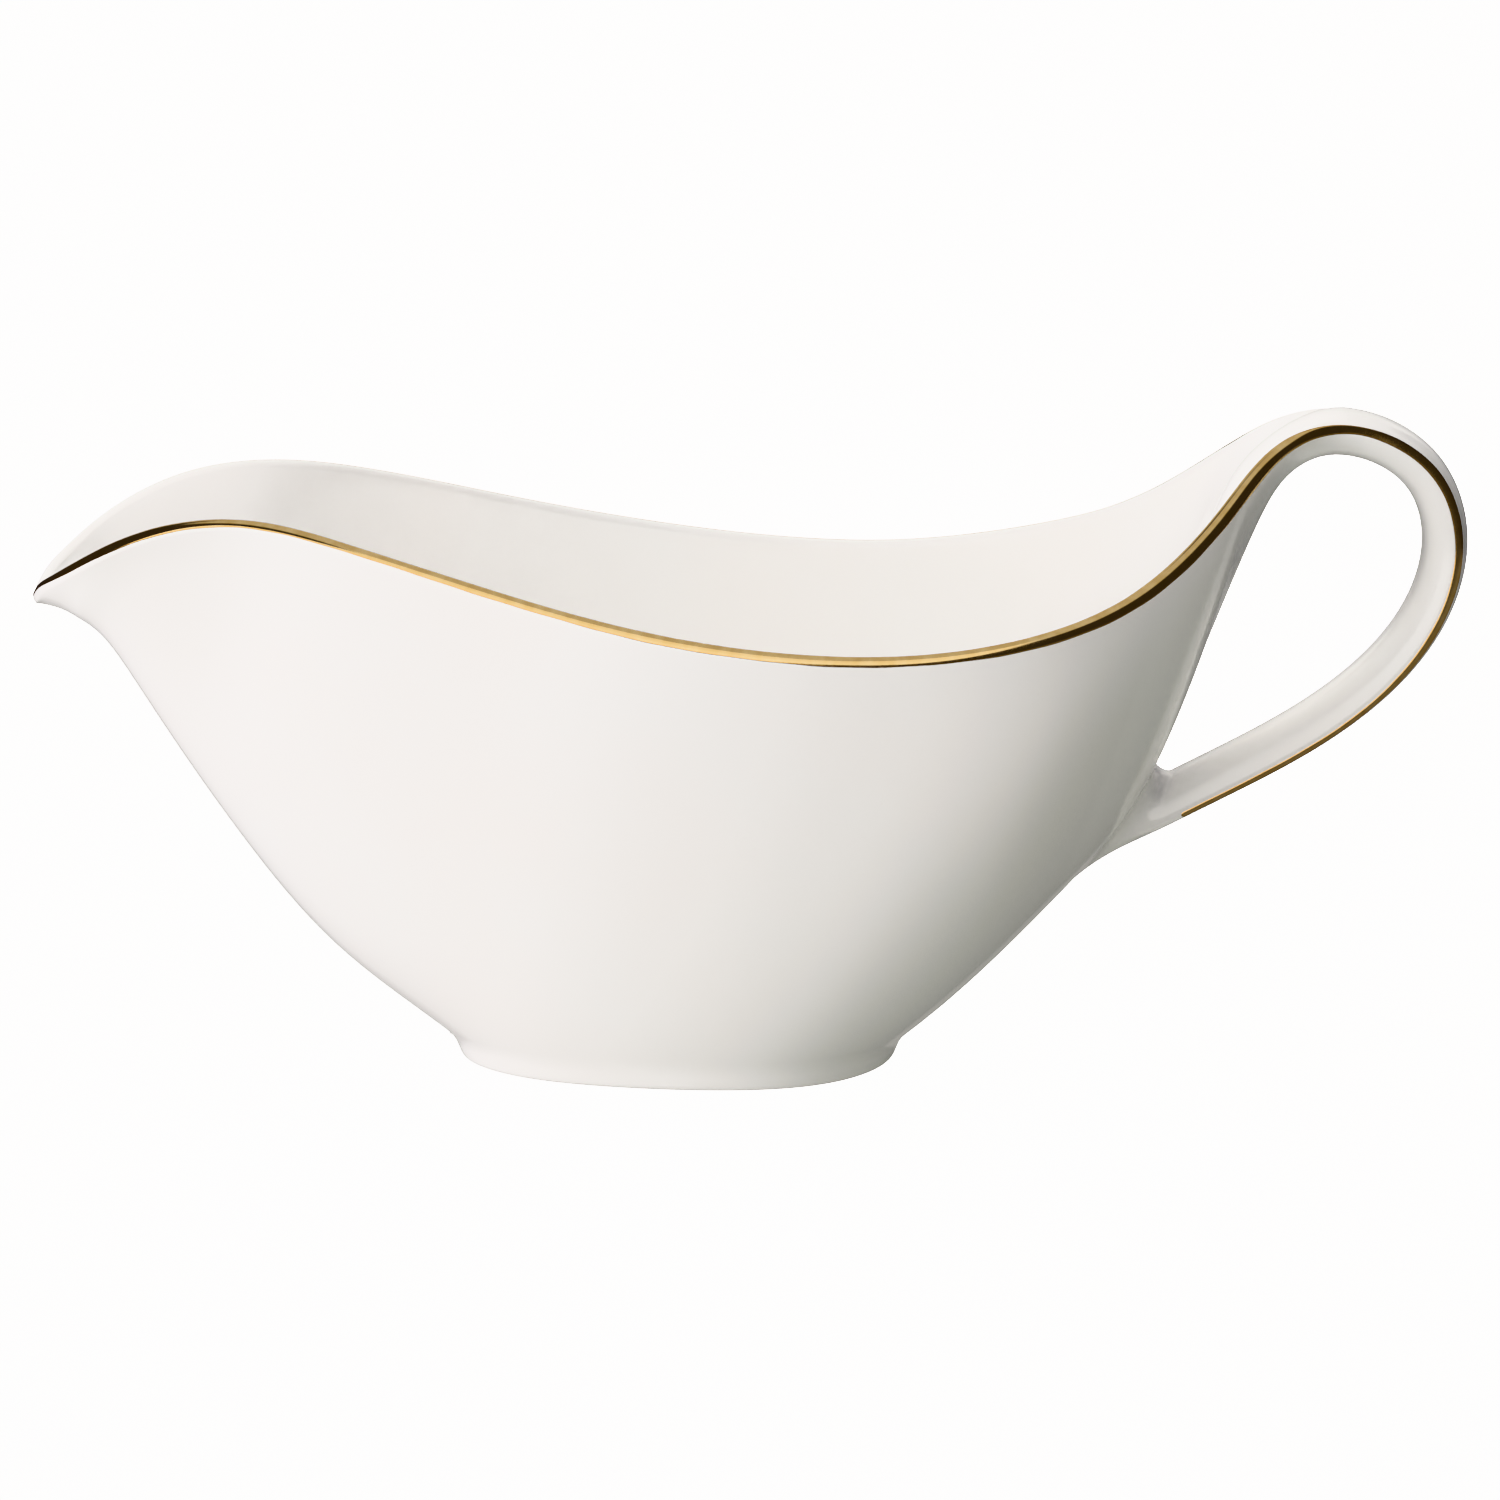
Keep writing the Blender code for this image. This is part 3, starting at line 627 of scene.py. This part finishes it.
def foot_rows(cut, opening, depths):
    """Points down the foot's side below the bowl's cut edge, at the given depths."""
    rows = []
    base = cut - plan_normal(cut) * ((opening - FOOT_LEAN) * FILLET / 4)[:, None]
    for depth in depths:
        ease = np.clip(FILLET - depth, 0, FILLET) ** 2 / (4 * FILLET)
        offset = (opening - FOOT_LEAN) * ease - FOOT_LEAN * depth
        row = base + plan_normal(cut) * offset[:, None]
        row[:, 2] = UNDERSIDE - depth
        rows.append(row)
    return rows


def inset_rows(row, profile):
    """Rows further in from a row of the foot's outline; the profile gives inset and height."""
    rows = []
    for inset, height in profile:
        made = row - plan_normal(row) * inset
        made[:, 2] = height
        rows.append(made)
    return rows


def arc_profile(start, corner, end, count):
    """A rounded corner of a profile, from start to end, as a square Bezier."""
    t = even(count)[:, None]
    start, corner, end = (np.array(p, float) for p in (start, corner, end))
    return ((1 - t) ** 2 * start + 2 * t * (1 - t) * corner + t * t * end).tolist()


# The foot's section: depth of the seam below the cut, how far in its inner side stands and its
# inner corner reaches, and the height of the recess inside it.
FOOT_SEAM = UNDERSIDE - FOOT_HEIGHT
FOOT_INNER = 3.4
FOOT_CORNER = 5.2
RECESS = UNDERSIDE + 0.2


def china_bowl(look):
    """The bowl's skin, inside and out, down to the seam where the foot carries on."""
    where, first, span = bowl_places()
    inner, over, under, outer = sections(where, even(52), even(11), OUTER_STEPS)
    outer, opening = filleted(outer)
    half = joined(inner, over, under, outer)
    # Middle seam of the inside, and of the outside where there is no foot, close by merging.
    wall_points, faces = both_sides(half)
    side = slice(first, first + span + 1)
    depths = np.array((0.0, 0.1, 0.2, FOOT_SEAM - SEAM, FOOT_SEAM))
    rows = foot_rows(outer[side, -1], opening[side], depths)
    wall = [(FOOT_INNER, FOOT_HEIGHT), (FOOT_INNER, FOOT_HEIGHT + SEAM)]
    round_in = arc_profile(wall[-1], (FOOT_INNER, RECESS), (FOOT_CORNER, RECESS), 7)[1:]
    rows += inset_rows(rows[-1], wall + round_in)
    middle = rows[-1].copy()
    middle[:, 1] = 0.0
    low = np.array(rows + [rows[-1] * 0.5 + middle * 0.5, middle])
    low_points, low_faces = both_sides(low, len(wall_points))
    # The flat end at the crest joins the last half section to its mirror image.
    count, across = half.shape[:2]
    last = (count - 1) * across
    other = count * across + last
    crest = [(last + j, last + j + 1, other + j + 1, other + j) for j in range(across - 1)]
    points = np.concatenate([wall_points, low_points])
    faces += low_faces + crest
    return mesh_piece("china_bowl", points, faces, look)


def china_foot(look):
    """The foot: glazed side, rounded and ground standing edge, glazed inner side."""
    where, first, span = bowl_places()
    outer = sections(where, even(3), even(3), OUTER_STEPS)[3]
    outer, opening = filleted(outer)
    side = slice(first, first + span + 1)
    depths = np.concatenate([[FOOT_SEAM, FOOT_SEAM + SEAM], np.linspace(FOOT_SEAM + 0.2, 3.0, 9)])
    rows = foot_rows(outer[side, -1], opening[side], depths)
    top = rows[0]
    # How bare of glaze each row is: none on the sides, all on the edge that stands.
    bare = [0.0] * len(rows)
    low = UNDERSIDE - depths[-1]
    turn = arc_profile((0.0, low), (FOOT_LEAN * low, 0.0), (1.35, 0.0), 9)[1:]
    flat = [(1.5, 0.0), (2.1, 0.0), (2.3, 0.0)]
    rows += inset_rows(rows[-1], turn + flat)
    bare += [0.0] * 5 + [0.4, 0.9, 1.0] + [1.0, 1.0, 0.6]
    back = arc_profile((FOOT_INNER - 0.9, 0.0), (FOOT_INNER, 0.0), (FOOT_INNER, 1.2), 6)
    back += [(FOOT_INNER, height) for height in (2.4, FOOT_HEIGHT - SEAM, FOOT_HEIGHT)]
    rows += inset_rows(top, back)
    bare += [0.4] + [0.0] * 8
    low = np.array(rows + [top])
    points, faces = both_sides(low)
    values = np.repeat(bare + [0.0], low.shape[1])
    return mesh_piece("china_foot", points, faces, look, bare=np.concatenate([values, values]))


def strap_half(where, steps):
    """Strap half rings; near the wall their inner face is drawn back, for the loop's corner."""
    fine = np.linspace(KNOTS[LAST] - (DRAWN_BACK + 10.0), KNOTS[LAST], 241)
    near = joined(*sections(fine, *steps))
    half = joined(*sections(where, *steps))
    # Each point's share grows across the inner face, from just past the edge to its middle.
    lengths = np.concatenate([[0], np.cumsum(np.linalg.norm(np.diff(near[-1], axis=0), axis=1))])
    start = lengths[len(steps[0]) + len(steps[1]) - 1]
    past = np.clip((lengths - start - PAST_EDGE) / (lengths[-1] - start - PAST_EDGE), 0, 1)
    share = past**0.87
    share = share * share * (3 - 2 * share)
    ramp = np.clip((where - KNOTS[LAST] + DRAWN_BACK) / DRAWN_BACK, 0, 1)
    ramp = ramp * ramp * (1.6 - 0.6 * ramp)
    for i in np.nonzero(ramp)[0]:
        for j in np.nonzero(share)[0]:
            place = where[i] - ROOT_PULL * share[j] * ramp[i]
            for axis in range(3):
                half[i, j, axis] = np.interp(place, fine, near[:, j, axis])
    return half


def china_handle(look):
    """The strap from the crest round to the back wall, where it flares into its root."""
    steps = (even(26), even(9), even(30))
    where = np.concatenate([[SPLIT, SPLIT + SEAM], np.linspace(SPLIT + 0.8, KNOTS[LAST], 250)])
    strap = strap_half(where, steps)
    flare = root_half(strap[-1], strap[-2], 40, -0.02)
    half = np.concatenate([strap, flare])
    ring = rings(half)
    return mesh_piece("china_handle", ring.reshape(-1, 3), tube_faces(*ring.shape[:2]), look)


# The film's thickness, over what width its edges round off, how deep they and its underside
# lie in the glaze, and the width of the darker, redder band along them: partly thinner gold,
# partly a painted dark reflection.
FILM = 0.05
FILM_EDGE = 0.30
FILM_SUNK = 0.012
FILM_UNDER = 0.03
FILM_DARK_EDGE = 0.35
# How the brush's stroke wanders in width: share of it, turn for each millimetre, first turn.
WANDER = ((0.035, 0.21, 1.0), (0.025, 0.67, 2.0))
# Length of the blunt end that the brush leaves.
BRUSH_END = 0.6


def gold_film(where, ends):
    """Half sections of the gold: a thin film, thinner towards its painted edges."""
    points, length = dense_half(where)
    start = gold_from_at(where)
    end = np.minimum(gold_to_at(where), length[:, -1:] - 2 * GAP)
    middle, half_width = (start + end) / 2, (end - start) / 2
    wander = sum(share * np.sin(where * turn + first) for share, turn, first in WANDER)
    half_width = half_width * ends[:, None] * (1 + wander[:, None])
    across = np.linspace(-1, 1, 19)[None, :]
    across = np.sign(across) * (1 - (1 - np.abs(across)) ** 1.25)
    wanted = middle + half_width * across
    low = at_lengths(points, length, np.clip(wanted, length[:, :1], length[:, -1:]))
    normal = face_normals(where, wanted)
    from_edge = (1 - np.abs(across)) * half_width
    rise = np.clip(from_edge / FILM_EDGE, 0, 1)
    rise = FILM * np.sqrt(rise * (2 - rise)) - FILM_SUNK
    top = low + normal * rise[..., None]
    under = low - normal * FILM_UNDER
    # Share of the darker, redder edge colour at each point: partly thinner gold, partly a painted
    # dark reflection along the film's edges.
    edge = np.clip(1 - from_edge / FILM_DARK_EDGE, 0, 1)
    edge = np.concatenate([edge, edge[:, ::-1]], axis=1)
    return np.concatenate([top, under[:, ::-1]], axis=1), edge


def film_piece(name, half, edge, look):
    return mesh_piece(name, half.reshape(-1, 3), tube_faces(*half.shape[:2]), look, edge=edge)


def gold_rim(look):
    """The line round the rim, from the crest over the spout's tip and back to the crest."""
    spout = KNOTS[3] * even(50) ** 1.4
    rest = np.linspace(KNOTS[3], SPLIT - SEAM, 420)[1:]
    where = np.concatenate([spout, rest, [SPLIT]])
    half, edge = gold_film(where, np.ones(len(where)))
    both = np.concatenate([half[::-1], (half * MIRROR)[1:]])
    return film_piece("gold_rim", both, np.concatenate([edge[::-1], edge[1:]]), look)


def gold_strap_line(name, side, look):
    """The line along one edge of the strap, with the brush's blunt end near the wall."""
    tip = GOLD_END - GAP
    line = np.linspace(SPLIT + 0.5, tip - BRUSH_END, 260)
    blunt = tip - BRUSH_END * (1 - even(9)[1:]) ** 2
    where = np.concatenate([[SPLIT, SPLIT + SEAM], line, blunt])
    past = np.clip(where - tip + BRUSH_END, 0, BRUSH_END) / BRUSH_END
    ends = np.sqrt(np.clip(1 - past**2, 0.01, 1))
    half, edge = gold_film(where, ends)
    return film_piece(name, half * np.array((1.0, side, 1.0)), edge, look)


# MATERIALS
def node(tree, kind, **inputs):
    made = tree.nodes.new(kind)
    for name, value in inputs.items():
        made.inputs[name.replace("_", " ")].default_value = value
    return made


def blank(name):
    look = bpy.data.materials.new(name)
    look.use_nodes = True
    return look, look.node_tree, look.node_tree.nodes["Principled BSDF"]


def noise(tree, scale, detail, coordinates):
    made = node(tree, "ShaderNodeTexNoise", Scale=scale, Detail=detail)
    tree.links.new(coordinates, made.inputs["Vector"])
    return made.outputs["Fac"]


def ramp(tree, value, low, high, start=0.3, end=0.7):
    """A colour that goes from low to high as the value goes from start to end."""
    made = tree.nodes.new("ShaderNodeValToRGB")
    made.color_ramp.elements[0].position = start
    made.color_ramp.elements[1].position = end
    made.color_ramp.elements[0].color = (*low, 1.0)
    made.color_ramp.elements[1].color = (*high, 1.0)
    tree.links.new(value, made.inputs["Fac"])
    return made.outputs["Color"]


def spread(tree, value, low, high):
    """A number that goes from low to high as the value goes from 0 to 1."""
    made = tree.nodes.new("ShaderNodeMapRange")
    made.inputs["To Min"].default_value = low
    made.inputs["To Max"].default_value = high
    tree.links.new(value, made.inputs["Value"])
    return made.outputs["Result"]


def blend(tree, fac, first, second):
    made = tree.nodes.new("ShaderNodeMix")
    made.data_type = "RGBA"
    tree.links.new(fac, made.inputs["Factor"])
    tree.links.new(first, made.inputs["A"])
    tree.links.new(second, made.inputs["B"])
    return made.outputs["Result"]


def bump(tree, height, distance, before=None):
    made = node(tree, "ShaderNodeBump", Strength=1.0, Distance=distance)
    tree.links.new(height, made.inputs["Height"])
    if before is not None:
        tree.links.new(before, made.inputs["Normal"])
    return made.outputs["Normal"]


def china(name, warm, cool):
    """Clear gloss glaze over white china: faint clouding, a slow waviness and fine pinholes."""
    look, tree, shader = blank(name)
    place = tree.nodes.new("ShaderNodeTexCoord").outputs["Object"]
    cloud = noise(tree, 26.0, 3.0, place)
    colour = ramp(tree, cloud, warm, cool)
    speck = noise(tree, 2600.0, 2.0, place)
    grain = ramp(tree, speck, (1.0, 1.0, 1.0), (0.975, 0.972, 0.965), 0.66, 0.80)
    mixed = tree.nodes.new("ShaderNodeMix")
    mixed.data_type = "RGBA"
    mixed.blend_type = "MULTIPLY"
    mixed.inputs["Factor"].default_value = 1.0
    tree.links.new(colour, mixed.inputs["A"])
    tree.links.new(grain, mixed.inputs["B"])
    tree.links.new(mixed.outputs["Result"], shader.inputs["Base Color"])
    haze = spread(tree, noise(tree, 90.0, 2.0, place), 0.16, 0.26)
    tree.links.new(haze, shader.inputs["Roughness"])
    slow = bump(tree, noise(tree, 60.0, 1.0, place), 0.00006)
    fine = bump(tree, noise(tree, 900.0, 2.0, place), 0.0000015, slow)
    tree.links.new(fine, shader.inputs["Normal"])
    tree.links.new(slow, shader.inputs["Coat Normal"])
    shader.inputs["IOR"].default_value = 1.5
    shader.inputs["Specular IOR Level"].default_value = 0.5
    shader.inputs["Coat Weight"].default_value = 0.6
    shader.inputs["Coat Roughness"].default_value = 0.035
    shader.inputs["Coat IOR"].default_value = 1.5
    return look


def foot_china(warm, cool, bare_colour):
    """The same china, with the standing edge ground and left without glaze."""
    look = china("foot_glaze_and_ground_edge", warm, cool)
    tree = look.node_tree
    shader = tree.nodes["Principled BSDF"]
    bare = tree.nodes.new("ShaderNodeAttribute")
    bare.attribute_name = "bare"
    place = tree.nodes.new("ShaderNodeTexCoord").outputs["Object"]
    grit = noise(tree, 5200.0, 4.0, place)
    glazed = shader.inputs["Base Color"].links[0].from_socket
    dull = ramp(tree, grit, bare_colour, tuple(min(1.0, 1.08 * c) for c in bare_colour), 0.35, 0.65)
    tree.links.new(blend(tree, bare.outputs["Fac"], glazed, dull), shader.inputs["Base Color"])
    tree.links.new(spread(tree, bare.outputs["Fac"], 0.2, 0.75), shader.inputs["Roughness"])
    tree.links.new(spread(tree, bare.outputs["Fac"], 0.6, 0.0), shader.inputs["Coat Weight"])
    return look


def gold(name):
    """Burnished gold, fired on in one brush stroke: streaks, soft wear, and darker, redder edges
    that are partly thinner gold and partly a painted dark reflection.
    """
    look, tree, shader = blank(name)
    place = tree.nodes.new("ShaderNodeTexCoord").outputs["Object"]
    edge = tree.nodes.new("ShaderNodeAttribute")
    edge.attribute_name = "edge"
    mottle = noise(tree, 420.0, 4.0, place)
    body = ramp(tree, mottle, (0.80, 0.565, 0.25), (0.92, 0.69, 0.35), 0.35, 0.68)
    # Darker, redder gold along the edges: partly thinner film, partly a painted dark reflection.
    dark_edge_colour = node(tree, "ShaderNodeRGB")
    dark_edge_colour.outputs[0].default_value = (0.47, 0.25, 0.09, 1.0)
    soft = tree.nodes.new("ShaderNodeMath")
    soft.operation = "MULTIPLY"
    soft.inputs[1].default_value = 0.7
    tree.links.new(edge.outputs["Fac"], soft.inputs[0])
    tree.links.new(blend(tree, soft.outputs[0], body, dark_edge_colour.outputs[0]), shader.inputs["Base Color"])
    wear = spread(tree, noise(tree, 700.0, 3.0, place), 0.07, 0.15)
    tree.links.new(wear, shader.inputs["Roughness"])
    shader.inputs["Metallic"].default_value = 1.0
    fine = bump(tree, noise(tree, 1500.0, 2.0, place), 0.0000012)
    tree.links.new(fine, shader.inputs["Normal"])
    return look


# PIECES
def dress(piece, slot, *nodes):
    """The piece on its body, in the place of its nodes, which are hidden; the slot is not used."""
    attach(piece, "root")
    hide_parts(*nodes)


WARM = (0.905, 0.893, 0.878)
COOL = (0.890, 0.893, 0.885)
dress(china_bowl(china("bowl_glaze", WARM, COOL)), "glazed_china", "bowl")
dress(china_handle(china("handle_glaze", WARM, COOL)), "glazed_china", "handle")
dress(china_foot(foot_china(WARM, COOL, (0.80, 0.77, 0.73))), "foot_china", "foot_ring")
dress(gold_rim(gold("rim_gold")), "gold_line", "gold_rim_line")
left_line = gold_strap_line("gold_strap_left", -1.0, gold("left_strap_gold"))
dress(left_line, "gold_line", "gold_handle_line_left")
right_line = gold_strap_line("gold_strap_right", 1.0, gold("right_strap_gold"))
dress(right_line, "gold_line", "gold_handle_line_right")


# STAGE
# What the lamps and the camera point at, in metres.
MIDDLE = Vector((0.0, 0.0, 0.06))
AIM = Vector((0.0, 0.0, 0.0532))
# The camera's distance in metres, its height in degrees and its lens in millimetres.
CAMERA_AWAY, CAMERA_UP, LENS = 1.1, 14.5, 157.3
LAMP_AWAY = 1.5
# Brightness of the room's parts: the front panel at its foot and at its top, and the others.
FRONT_LOW, FRONT_HIGH, BACK_WALL, BACKDROP = 2.1, 1.15, 0.6, 0.4
CEILING, LOW_LIGHT, ROOM = 0.6, 0.2, 0.05
# Brightness of the background where the camera looks straight at it: plain white.
SEEN = 60.0
ROOM_TINT = (1.0, 0.97, 1.3)
WARM_LIGHT, SIDE_LIGHT = (1.0, 0.966, 0.928), (0.97, 1.0, 0.78)
KEY_LIGHT = (1.0, 0.957, 0.965)


def link_object(name, data):
    made = bpy.data.objects.new(name, data)
    bpy.context.scene.collection.objects.link(made)
    return made


def floor(half_size):
    """A plain pale table, lit from within and level with the foot; it sends no light back."""
    mesh = bpy.data.meshes.new("floor")
    corners = [(x * half_size, y * half_size, 0.0) for x, y in ((-1, -1), (1, -1), (1, 1), (-1, 1))]
    mesh.from_pydata(corners, [], [(0, 1, 2, 3)])
    look, _, shader = blank("pale_floor")
    shader.inputs["Base Color"].default_value = (0.93, 0.93, 0.93, 1.0)
    shader.inputs["Roughness"].default_value = 0.85
    shader.inputs["Specular IOR Level"].default_value = 0.1
    shader.inputs["Emission Color"].default_value = (1.0, 1.0, 1.0, 1.0)
    shader.inputs["Emission Strength"].default_value = 5.0
    mesh.materials.append(look)
    made = link_object("floor", mesh)
    made.visible_diffuse = False
    made.visible_glossy = False
    made.visible_shadow = False
    return made


def direction(azimuth, elevation):
    """Unit vector: azimuth 0 is towards the camera, 90 towards the handle, 180 behind."""
    turn, lift = np.radians(azimuth), np.radians(elevation)
    flat = np.cos(lift)
    return Vector((flat * np.sin(turn), -flat * np.cos(turn), np.sin(lift)))


def aim(thing, target):
    thing.rotation_euler = (target - thing.location).to_track_quat("-Z", "Y").to_euler()


def lamp(name, azimuth, elevation, radius, radiance, tint):
    """A round soft lamp, out of sight, of the given brightness seen from the boat."""
    light = bpy.data.lights.new(name, "AREA")
    light.shape = "DISK"
    light.size = 2 * radius
    light.energy = radiance * np.pi * np.pi * radius**2
    light.color = tint
    made = link_object(name, light)
    made.location = MIDDLE + LAMP_AWAY * direction(azimuth, elevation)
    aim(made, MIDDLE)
    made.visible_camera = False
    made.visible_glossy = False


def maths(tree, operation, first, second=0.0):
    made = tree.nodes.new("ShaderNodeMath")
    made.operation = operation
    for socket, value in zip(made.inputs, (first, second)):
        if isinstance(value, (int, float)):
            socket.default_value = value
        else:
            tree.links.new(value, socket)
    return made.outputs[0]


def rise(tree, value, start, end):
    """A soft step from 0 to 1 as the value goes from start to end."""
    made = tree.nodes.new("ShaderNodeMapRange")
    made.interpolation_type = "SMOOTHSTEP"
    made.inputs["From Min"].default_value = start
    made.inputs["From Max"].default_value = end
    tree.links.new(value, made.inputs["Value"])
    return made.outputs["Result"]


def blend_colours(tree, share, first, second):
    made = tree.nodes.new("ShaderNodeMix")
    made.data_type = "RGBA"
    made.inputs["A"].default_value = (*first, 1.0)
    made.inputs["B"].default_value = (*second, 1.0)
    tree.links.new(share, made.inputs["Factor"])
    return made.outputs["Result"]


def panel(tree, azimuth, elevation, sides, heights, soft, radiance):
    """A soft-edged bright panel between two azimuths and two elevations."""
    shape = maths(tree, "MULTIPLY", rise(tree, azimuth, sides[0] - soft, sides[0]), radiance)
    shape = maths(tree, "MULTIPLY", shape, rise(tree, azimuth, sides[1] + soft, sides[1]))
    shape = maths(tree, "MULTIPLY", shape, rise(tree, elevation, heights[0] - soft, heights[0]))
    return maths(tree, "MULTIPLY", shape, rise(tree, elevation, heights[1] + soft, heights[1]))


def studio():
    """A dark room with a front panel left of the camera that leans over as it rises, a lit
    ceiling, a lit back wall with a fainter backdrop below it, and a little light from low down."""
    made = bpy.data.worlds.new("studio")
    made.use_nodes = True
    tree = made.node_tree
    place = tree.nodes.new("ShaderNodeTexCoord").outputs["Generated"]
    parts = tree.nodes.new("ShaderNodeSeparateXYZ")
    tree.links.new(place, parts.inputs[0])
    across, away, up = parts.outputs
    azimuth = maths(tree, "ARCTAN2", across, maths(tree, "MULTIPLY", away, -1.0))
    azimuth = maths(tree, "DEGREES", azimuth)
    elevation = maths(tree, "DEGREES", maths(tree, "ARCSINE", up))
    lift = maths(tree, "MULTIPLY", rise(tree, elevation, 0.0, 70.0), 15.0)
    leaning = maths(tree, "SUBTRACT", azimuth, lift)
    behind = maths(tree, "ABSOLUTE", azimuth)
    front = panel(tree, leaning, elevation, (-45.0, -1.0), (-10.0, 74.0), 2.5, 1.0)
    fading = maths(tree, "MULTIPLY", rise(tree, elevation, 0.0, 60.0), FRONT_LOW - FRONT_HIGH)
    lights = (
        maths(tree, "MULTIPLY", front, maths(tree, "SUBTRACT", FRONT_LOW, fading)),
        panel(tree, behind, elevation, (152.0, 200.0), (10.0, 62.0), 6.0, BACK_WALL),
        panel(tree, behind, elevation, (164.0, 200.0), (-32.0, 0.0), 6.0, BACKDROP),
        maths(tree, "MULTIPLY", rise(tree, elevation, 58.0, 68.0), CEILING),
        maths(tree, "MULTIPLY", rise(tree, elevation, -10.0, -16.0), LOW_LIGHT),
    )
    total = ROOM
    for light in lights:
        total = maths(tree, "MAXIMUM", light, total)
    seen = tree.nodes.new("ShaderNodeLightPath").outputs["Is Camera Ray"]
    total = maths(tree, "MAXIMUM", total, maths(tree, "MULTIPLY", seen, SEEN))
    tint = blend_colours(tree, rise(tree, total, 0.05, 0.25), ROOM_TINT, WARM_LIGHT)
    background = tree.nodes["Background"]
    tree.links.new(tint, background.inputs["Color"])
    tree.links.new(total, background.inputs["Strength"])
    bpy.context.scene.world = made


def camera():
    """The camera at the height it was held, square to the boat's side."""
    lens = bpy.data.cameras.new("camera")
    lens.sensor_width = 36.0
    lens.lens = LENS
    made = link_object("camera", lens)
    made.location = AIM + CAMERA_AWAY * direction(0.0, CAMERA_UP)
    aim(made, AIM)
    bpy.context.scene.camera = made


floor(12.0)
lamp("key", -71.5, 0.0, 0.55, 9.1, KEY_LIGHT)
lamp("back", 170.0, 45.0, 1.05, 3.3, WARM_LIGHT)
lamp("fill_above", -45.0, 50.0, 1.0, 0.93, WARM_LIGHT)
lamp("fill_low", 30.0, -60.0, 1.0, 0.5, SIDE_LIGHT)
lamp("side", 100.0, -30.0, 0.8, 0.56, SIDE_LIGHT)
studio()
camera()
bpy.context.scene.view_settings.view_transform = "Khronos PBR Neutral"
